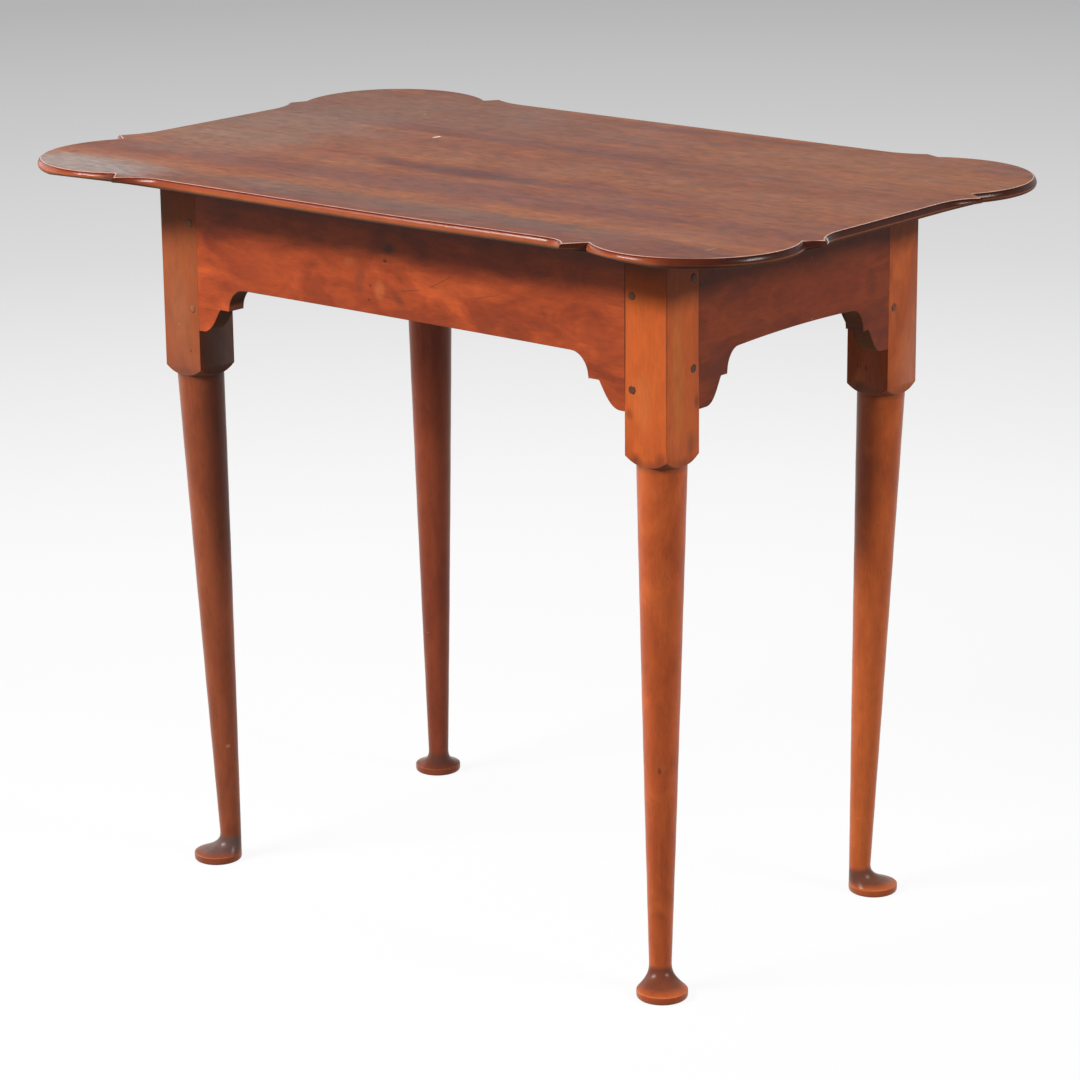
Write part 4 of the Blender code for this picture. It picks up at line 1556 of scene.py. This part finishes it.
        way = graph.add("ShaderNodeTexCoord").outputs["Generated"]
        climb = graph.add("ShaderNodeSeparateXYZ", {0: way}).outputs[2]
        fade = graph.between(climb, *self.walls_fade)
        walls = graph.mix(fade, (*self.low_walls, 1.0), (*self.high_walls, 1.0))
        fill = glow((1.0, 1.0, 1.0, 1.0), self.world_light)
        path = graph.add("ShaderNodeLightPath").outputs
        straight = graph.math("MAXIMUM", path["Is Camera Ray"], path["Is Transmission Ray"])
        room = graph.add("ShaderNodeMixShader", {0: path["Is Glossy Ray"], 1: fill, 2: glow(walls)}).outputs[0]
        whole = {0: straight, 1: room, 2: glow(grey(self.world_grey))}
        whole = graph.add("ShaderNodeMixShader", whole).outputs[0]
        graph.add("ShaderNodeOutputWorld", {"Surface": whole})

    def build(self) -> None:
        """Set up the whole studio."""
        bpy.context.scene.view_settings.view_transform = "Standard"
        self.place_camera()
        self.place_lamps()
        self.lay_floor()
        self.light_world()


def on_top(across: float, back: float, long: float, wide: float, tint: Colour, *rest: object) -> Mark:
    """Return a mark on the top's upper face: its place, its reach, its tint and the rest of a mark."""
    return Mark((across, back, SIZES.height), (long, wide, MARK_DEPTH), tint, *rest)


def on_front(across: float, height: float, long: float, tall: float, tint: Colour, *rest: object) -> Mark:
    """Return a mark on the front rail: its place, its reach, its tint and the rest of a mark."""
    return Mark((across, RAIL_FACE, height), (long, RAIL_MARK_DEPTH, tall), tint, *rest)


class Finishes:
    """The finishes of the table's pieces."""

    TOP_MARKS = (
        # Greyer rear left: wood tone with painted sheen.
        on_top(-0.25, 0.170, 0.28, 0.11, (126, 82, 60), 0.65),
        on_top(0.24, 0.160, 0.26, 0.12, (148, 82, 34), 0.60),
        on_top(0.31, -0.010, 0.13, 0.16, (146, 79, 31), 0.45),
        # Greyer left end: wood tone with painted sheen.
        on_top(-0.33, 0.000, 0.14, 0.19, (130, 98, 80), 0.65),
        on_top(-0.04, 0.085, 0.13, 0.018, (108, 52, 32), 0.35),
        on_top(0.18, 0.100, 0.14, 0.016, (112, 56, 34), 0.30),
        on_top(-0.185, 0.040, 0.06, 0.005, (96, 46, 30), 0.35),
        on_top(0.00, -0.008, 0.55, 0.030, (136, 74, 37), 0.50),
        on_top(0.06, -0.008, 0.08, 0.020, (146, 80, 38), 0.35),
        on_top(-0.03, -0.068, 0.15, 0.022, (92, 32, 24), 0.85),
        on_top(0.165, -0.110, 0.05, 0.012, (138, 74, 34), 0.40),
        on_top(-0.05, -0.140, 0.25, 0.050, (120, 64, 46), 0.50),
        on_top(0.065, -0.180, 0.05, 0.015, (106, 50, 40), 0.35),
        # Greyer strip along the front: wood tone with painted sheen.
        on_top(0.00, -0.215, 0.45, 0.035, (106, 72, 61), 0.70),
        # Painted sheen: a pale grey patch for light reflected on the front left lobe.
        on_top(-0.335, -0.240, 0.125, 0.055, (150, 136, 130), 0.85),
        on_top(-0.385, -0.202, 0.008, 0.008, (80, 48, 38), 0.50),
        on_top(-0.2136, 0.2108, 0.006, 0.005, (86, 54, 42), 0.50),
        on_top(0.342, 0.040, 0.005, 0.004, (84, 52, 40), 0.45),
        on_top(0.363, -0.094, 0.005, 0.004, (80, 48, 36), 0.50),
        on_top(0.338, 0.2075, 0.004, 0.004, (80, 48, 36), 0.50),
        on_top(0.3580, -0.2095, 0.0011, 0.0100, (196, 162, 142), 0.50, 0.5, 0.3, -8.0, Face.UPPER),
        on_top(-0.1665, 0.0572, 0.0021, 0.0065, (240, 230, 214), 0.95, 0.4, 0.3, -4.0, Face.UPPER),
        on_top(-0.2604, 0.1472, 0.0016, 0.0030, (206, 190, 172), 0.7, 0.4, 0.3, 0.0, Face.UPPER),
    )
    # The edge's colour by how far it faces up: the dark upper band is painted shade, the pale line at the arris
    # (0.94 to 0.98) is a painted highlight with wear, and the greyer lower stops are partly a painted
    # reflection of the floor.
    RIM = (
        (-0.95, (88, 62, 52)), (-0.55, (110, 72, 54)), (-0.20, (144, 80, 48)), (0.12, (162, 83, 44)),
        (0.48, (138, 59, 30)), (0.72, (102, 36, 20)), (0.87, (86, 30, 19)), (0.94, (212, 166, 146)),
        (0.98, (212, 166, 146)),
    )
    RIM_MARKS = (
        # Painted shade in the inner corner of the front right notch.
        Mark((0.2600, -0.2520, 0.675), (0.007, 0.012, 0.012), (62, 34, 27), 0.60, 0.7, 0.3),
        # Painted shade on the face of the right-hand notch.
        Mark((0.4010, -0.1280, 0.675), (0.014, 0.008, 0.012), (56, 22, 15), 0.70, 0.6, 0.2),
        # Painted shade at the end of the front left notch.
        Mark((-0.2770, -0.2630, 0.675), (0.006, 0.012, 0.009), (92, 70, 62), 0.50, 0.7, 0.3),
        Mark((-0.2300, -0.2620, 0.675), (0.065, 0.020, 0.012), (112, 46, 26), 0.55, 0.8, 0.5),
        # Painted shade on the right part of the front right lobe's edge, where less light falls.
        Mark((0.3680, -0.2500, 0.6770), (0.045, 0.026, 0.012), (84, 32, 19), 0.60, 0.6, 0.3),
        # Painted glint at the corner of the right-hand notch, with a pale chip there.
        Mark((0.3985, -0.1090, 0.676), (0.006, 0.0035, 0.006), (238, 234, 228), 0.90, 0.5, 0.3),
    )
    FRONT_RAIL_MARKS = (
        # Painted shadow: a darker band along the rail's top, below the top's overhang.
        on_front(0.000, 0.674, 0.90, 0.036, (94, 56, 43), 0.70, 0.6, 0.4),
        on_front(-0.170, 0.600, 0.07, 0.030, (146, 58, 25), 0.60),
        on_front(0.070, 0.606, 0.07, 0.010, (180, 80, 36), 0.45),
        on_front(0.222, 0.590, 0.03, 0.050, (150, 64, 32), 0.20),
        on_front(-0.0128, 0.632, 0.014, 0.009, (100, 46, 26), 0.55),
        on_front(-0.0128, 0.632, 0.0080, 0.0054, (52, 28, 20), 0.60),
        on_front(-0.0176, 0.6208, 0.0034, 0.0022, (40, 22, 15), 0.80, 0.7, 0.8),
        on_front(-0.035, 0.597, 0.0012, 0.0024, (58, 27, 16), 0.70, 0.6, 0.4),
        on_front(-0.037, 0.584, 0.0017, 0.0015, (58, 27, 16), 0.70, 0.6, 0.4),
        on_front(-0.047, 0.603, 0.008, 0.020, (120, 53, 30), 0.55),
        on_front(-0.004, 0.590, 0.024, 0.007, (110, 47, 26), 0.60, 0.8, 0.8, -43.0),
        on_front(-0.024, 0.594, 0.009, 0.012, (190, 100, 54), 0.50),
        on_front(-0.060, 0.616, 0.008, 0.006, (184, 96, 52), 0.40),
        on_front(0.012, 0.5985, 0.018, 0.0008, (100, 44, 23), 0.65, 0.7, 0.15, 9.0),
        on_front(0.047, 0.6105, 0.023, 0.0008, (100, 44, 23), 0.65, 0.7, 0.15, 27.0),
        on_front(0.096, 0.6037, 0.024, 0.0007, (108, 48, 26), 0.55, 0.7, 0.15, 13.0),
        on_front(0.130, 0.582, 0.060, 0.0009, (124, 56, 31), 0.45, 0.7, 0.15, 4.0),
        on_front(0.155, 0.590, 0.045, 0.0008, (124, 56, 31), 0.40, 0.7, 0.15, 6.0),
    )
    RIGHT_RAIL_MARKS = (
        Mark((0.2928, 0.110, 0.592), (0.03, 0.012, 0.018), (72, 34, 23), 0.35),
        Mark((0.2928, 0.050, 0.590), (0.03, 0.090, 0.030), (136, 54, 22), 0.45),
        Mark((0.2928, -0.110, 0.560), (0.03, 0.020, 0.030), (104, 47, 30), 0.40),
    )
    LEG_MARKS = {
        Corner.FRONT_RIGHT: (
            Mark((0.2707, -0.1607, 0.575), (0.06, 0.06, 0.10), (198, 92, 36), 0.75, 0.25, 0.2),
            # Darker band at the shoulder: dirt with painted shade under the block.
            Mark((0.2707, -0.1607, 0.483), (0.06, 0.06, 0.009), (92, 44, 24), 0.50),
            Mark((0.2583, -0.1828, 0.487), (0.011, 0.02, 0.010), (96, 44, 22), 0.65, 0.9, 1.4),
            Mark((0.2858, -0.1828, 0.490), (0.008, 0.02, 0.011), (100, 46, 24), 0.55, 0.9, 1.4),
            Mark((0.2928, -0.1500, 0.500), (0.01, 0.010, 0.016), (104, 50, 27), 0.60, 0.9, 1.4),
            Mark((0.2680, -0.1828, 0.535), (0.013, 0.02, 0.034), (204, 110, 56), 0.40),
            Mark((0.2928, -0.1680, 0.560), (0.004, 0.010, 0.090), (196, 112, 46), 0.55),
            Mark((0.2928, -0.1430, 0.580), (0.004, 0.005, 0.080), (186, 80, 38), 0.45),
            Mark((0.2487, -0.1828, 0.600), (0.0014, 0.004, 0.085), (40, 19, 12), 0.90, 0.5, 0.1),
            Mark((0.2928, -0.1828, 0.580), (0.0012, 0.0012, 0.110), (112, 48, 22), 0.65, 0.5, 0.1),
            Mark((0.2928, -0.1387, 0.600), (0.004, 0.0014, 0.085), (40, 19, 12), 0.85, 0.5, 0.1),
            Mark((0.2928, -0.1420, 0.535), (0.01, 0.006, 0.009), (90, 44, 24), 0.60, 0.9, 1.2),
            Mark((0.2530, -0.1828, 0.525), (0.006, 0.02, 0.007), (110, 50, 26), 0.50, 0.9, 1.2),
            Mark((0.2735, -0.1678, 0.2105), (0.0025, 0.0025, 0.004), (74, 38, 22), 0.60, 0.6, 1.0),
            # Painted shadow at the top of the block's front face, below the top's overhang.
            Mark((0.2707, -0.1828, 0.668), (0.060, 0.01, 0.034), (96, 56, 40), 0.75, 0.6, 0.3),
        ),
        Corner.FRONT_LEFT: (
            Mark((-0.2707, -0.1607, 0.575), (0.06, 0.06, 0.10), (154, 77, 37), 0.75, 0.25, 0.2),
            # Darker band at the shoulder: dirt with painted shade under the block.
            Mark((-0.2707, -0.1607, 0.483), (0.06, 0.06, 0.009), (80, 42, 26), 0.45),
            Mark((-0.2602, -0.1828, 0.5062), (0.0012, 0.02, 0.0018), (44, 24, 16), 0.80, 0.5, 0.3),
            Mark((-0.2720, -0.1828, 0.545), (0.016, 0.02, 0.050), (156, 90, 54), 0.45),
            Mark((-0.2860, -0.1828, 0.640), (0.012, 0.02, 0.030), (122, 70, 46), 0.40),
            # Painted glint: a small pale spot low on the shaft.
            Mark((-0.2530, -0.1601, 0.1173), (0.003, 0.003, 0.0022), (200, 130, 90), 0.60, 0.5, 0.3),
            # Painted shade on the block's inner face below the rail.
            Mark((-0.2485, -0.1600, 0.505), (0.003, 0.030, 0.040), (62, 38, 26), 0.65),
        ),
        Corner.REAR_RIGHT: (
            # Painted light: the lower shaft made paler where more light falls on it.
            Mark((0.2707, 0.1607, 0.130), (0.06, 0.06, 0.26), (204, 100, 43), 0.75),
            # Darker band at the shoulder: dirt with painted shade under the block.
            Mark((0.2707, 0.1607, 0.483), (0.06, 0.06, 0.009), (92, 44, 24), 0.45),
            Mark((0.2600, 0.1385, 0.5070), (0.0009, 0.004, 0.0032), (52, 30, 21), 0.60, 0.6, 0.4),
            Mark((0.2635, 0.1385, 0.5064), (0.0008, 0.004, 0.0026), (52, 30, 21), 0.55, 0.6, 0.4),
            Mark((0.2690, 0.1385, 0.5062), (0.0020, 0.004, 0.0036), (46, 26, 18), 0.65, 0.7, 0.8),
            Mark((0.2620, 0.1385, 0.4890), (0.016, 0.010, 0.007), (58, 34, 24), 0.60, 0.9, 1.2),
            Mark((0.2928, 0.1600, 0.520), (0.01, 0.014, 0.034), (200, 108, 58), 0.35),
        ),
        # Darker band at the shoulder: dirt with painted shade under the block.
        Corner.REAR_LEFT: (Mark((-0.2707, 0.1607, 0.483), (0.06, 0.06, 0.009), (70, 36, 24), 0.45),),
    }
    # Grime on each foot's dome; the greyer tints at the front left and rear right also paint the dome's sheen.
    FOOT_GRIME = {
        Corner.FRONT_RIGHT: (89, 47, 35),
        Corner.FRONT_LEFT: (84, 68, 66),
        Corner.REAR_RIGHT: (78, 52, 46),
        Corner.REAR_LEFT: (96, 50, 36),
    }
    RAIL_MARKS = {"front": FRONT_RAIL_MARKS, "right": RIGHT_RAIL_MARKS}
    RAIL_INNER = {"front": (0, 1, 0), "rear": (0, -1, 0), "right": (-1, 0, 0), "left": (1, 0, 0)}
    RAW_INSET = 0.0015
    RAW_BELOW = 0.6716
    BLOCK_LENGTH = 0.182
    LONG_RAIL = ((138, 54, 22), (161, 66, 27), (184, 80, 35))
    SHORT_RAIL = ((106, 41, 17), (120, 48, 19), (135, 57, 24))
    LEGS = {
        Corner.FRONT_RIGHT: ((178, 78, 29), (190, 85, 33), (201, 94, 39)),
        Corner.FRONT_LEFT: ((131, 60, 30), (140, 65, 33), (149, 72, 38)),
        Corner.REAR_RIGHT: ((168, 76, 31), (180, 83, 34), (191, 92, 40)),
        Corner.REAR_LEFT: ((125, 51, 25), (133, 56, 28), (141, 62, 32)),
    }
    PEGS = {
        Corner.FRONT_RIGHT: ("dark", (74, 41, 28), (98, 54, 36), (118, 69, 47), (52, 30, 21)),
        Corner.FRONT_LEFT: ("pale", (118, 68, 40), (136, 80, 48), (152, 94, 58), (96, 54, 33)),
        Corner.REAR_RIGHT: ("red", (92, 44, 26), (112, 54, 32), (130, 66, 40), (52, 30, 21)),
        Corner.REAR_LEFT: ("brown", (84, 44, 28), (104, 56, 36), (122, 68, 44), (52, 30, 21)),
    }

    @classmethod
    def top(cls) -> WoodFinish:
        """Return the finish of the top's boards, which were cut from one plank and match."""
        return WoodFinish(
            name="cherry_top",
            grain=Grain.LENGTH,
            deep=(118, 52, 29), body=(135, 65, 26), pale=(151, 80, 32), pith=(0.0, 0.22, -0.74),
            streaks=60.0, clouds=26.0, figure=0.35, fibre=0.85, flecks=150.0, line_strength=0.08,
            rough=0.36, rough_spread=0.06, specular=0.13, coat=0.05, coat_rough=0.14, wear=0.0, rim=cls.RIM,
            rim_marks=cls.RIM_MARKS, raw_side=DOWNWARD, raw_from=-cls.RAW_BELOW, marks=cls.TOP_MARKS,
        )

    @classmethod
    def foot_marks(cls, corner: Corner) -> tuple[Mark, ...]:
        """Return the grime and painted sheen on a foot's dome, and the rubbed wood and the arris of its rim,
        whose pale line is wear with a painted highlight.
        """
        axis = SIZES.axis(corner)
        return (
            # Grime on the dome, with painted sheen in the greyer tints.
            Mark((axis.x, axis.y, 0.0165), (0.05, 0.05, 0.0115), cls.FOOT_GRIME[corner], 0.85, 0.5, 0.3),
            Mark((axis.x, axis.y, 0.0030), (0.06, 0.06, 0.0045), (150, 66, 31), 0.50, 0.4, 0.1),
            # Pale line at the rim's arris: wear with a painted highlight.
            Mark((axis.x, axis.y, 0.0071), (0.06, 0.06, 0.0007), (228, 160, 118), 0.16, 0.5, 0.02),
        )

    @classmethod
    def leg(cls, place: str) -> WoodFinish:
        """Return the finish of one leg, glossier below its block."""
        corner = Corner.of(place)
        axis = SIZES.axis(corner)
        deep, body, pale = cls.LEGS[corner]
        return WoodFinish(
            name=f"cherry_leg_{place}",
            grain=Grain.HEIGHT,
            deep=deep, body=body, pale=pale, pith=(0.3 * corner.right, 0.05 - axis.y, 0.04 + axis.x),
            streaks=95.0, clouds=30.0, figure=0.80, fibre=0.26, flecks=120.0, lines=150.0,
            line_strength=0.06, specular=0.09, coat=0.24, sheen=0.28, coat_rough=0.30, waver=0.010,
            wear=0.12, worn=(206, 122, 72), glossy_below=SIZES.top - cls.BLOCK_LENGTH,
            marks=cls.LEG_MARKS[corner] + cls.foot_marks(corner),
        )

    @classmethod
    def rail(cls, side: str) -> WoodFinish:
        """Return the finish of one rail, raw on its inner side."""
        is_long = side in ("front", "rear")
        deep, body, pale = cls.LONG_RAIL if is_long else cls.SHORT_RAIL
        outer = (SIZES.width if is_long else SIZES.length) / 2
        return WoodFinish(
            name=f"cherry_rail_{side}",
            grain=Grain.LENGTH if is_long else Grain.WIDTH,
            deep=deep, body=body, pale=pale, pith=(0.02, 0.05, -0.60), streaks=44.0, clouds=26.0,
            figure=0.7, fibre=0.32, flecks=150.0, lines=75.0, line_strength=0.10,
            specular=0.25 if is_long else 0.14, waver=0.035, wear=0.12, worn=pale,
            sawn=(104, 70, 52) if is_long else (138, 92, 68), raw_side=cls.RAIL_INNER[side],
            raw_from=-(outer - SIZES.rail_setback - SIZES.rail_thickness + cls.RAW_INSET),
            marks=cls.RAIL_MARKS.get(side, ()),
        )

    @classmethod
    def peg(cls, place: str) -> WoodFinish:
        """Return the finish of one of a corner's pegs, which show dark round their rubbed ends."""
        tone, deep, body, pale, worn = cls.PEGS[Corner.of(place)]
        name = f"{tone}_peg_wood"
        return WoodFinish(name, Grain.HEIGHT, deep, body, pale, streaks=300.0, wear=0.5, worn=worn)

    @staticmethod
    def glue_block() -> WoodFinish:
        """Return the dull, unvarnished wood of the glue blocks."""
        return WoodFinish(
            name="raw_pine",
            grain=Grain.LENGTH,
            deep=(120, 84, 52), body=(150, 110, 70), pale=(172, 132, 88), streaks=70.0, lines=180.0,
            rough=0.72, coat=0.0, wear=0.2, worn=(184, 146, 102),
        )


def dress_glue_blocks() -> None:
    """Keep the CAD glue blocks and give them raw wood."""
    wood = Finishes.glue_block().material()
    for name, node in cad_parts.items():
        if name.startswith("glue_block"):
            node.data.materials.clear()
            node.data.materials.append(wood)
            LOG.info("%s keeps its CAD shape", name)


def main() -> None:
    """Build the studio and the table's pieces, and dress them."""
    logging.basicConfig(level=logging.INFO, format="%(name)s: %(message)s")
    Effects.make_all()
    Studio().build()
    both_boards = Finishes.top()
    kinds = (
        (Legs(), Finishes.leg),
        (Rails(), Finishes.rail),
        (Pegs(), Finishes.peg),
        (Top(), lambda board: both_boards),
    )
    for kind, finish in kinds:
        kind.build()
        kind.dress(finish)
    dress_glue_blocks()


if __name__ == "__main__":
    main()
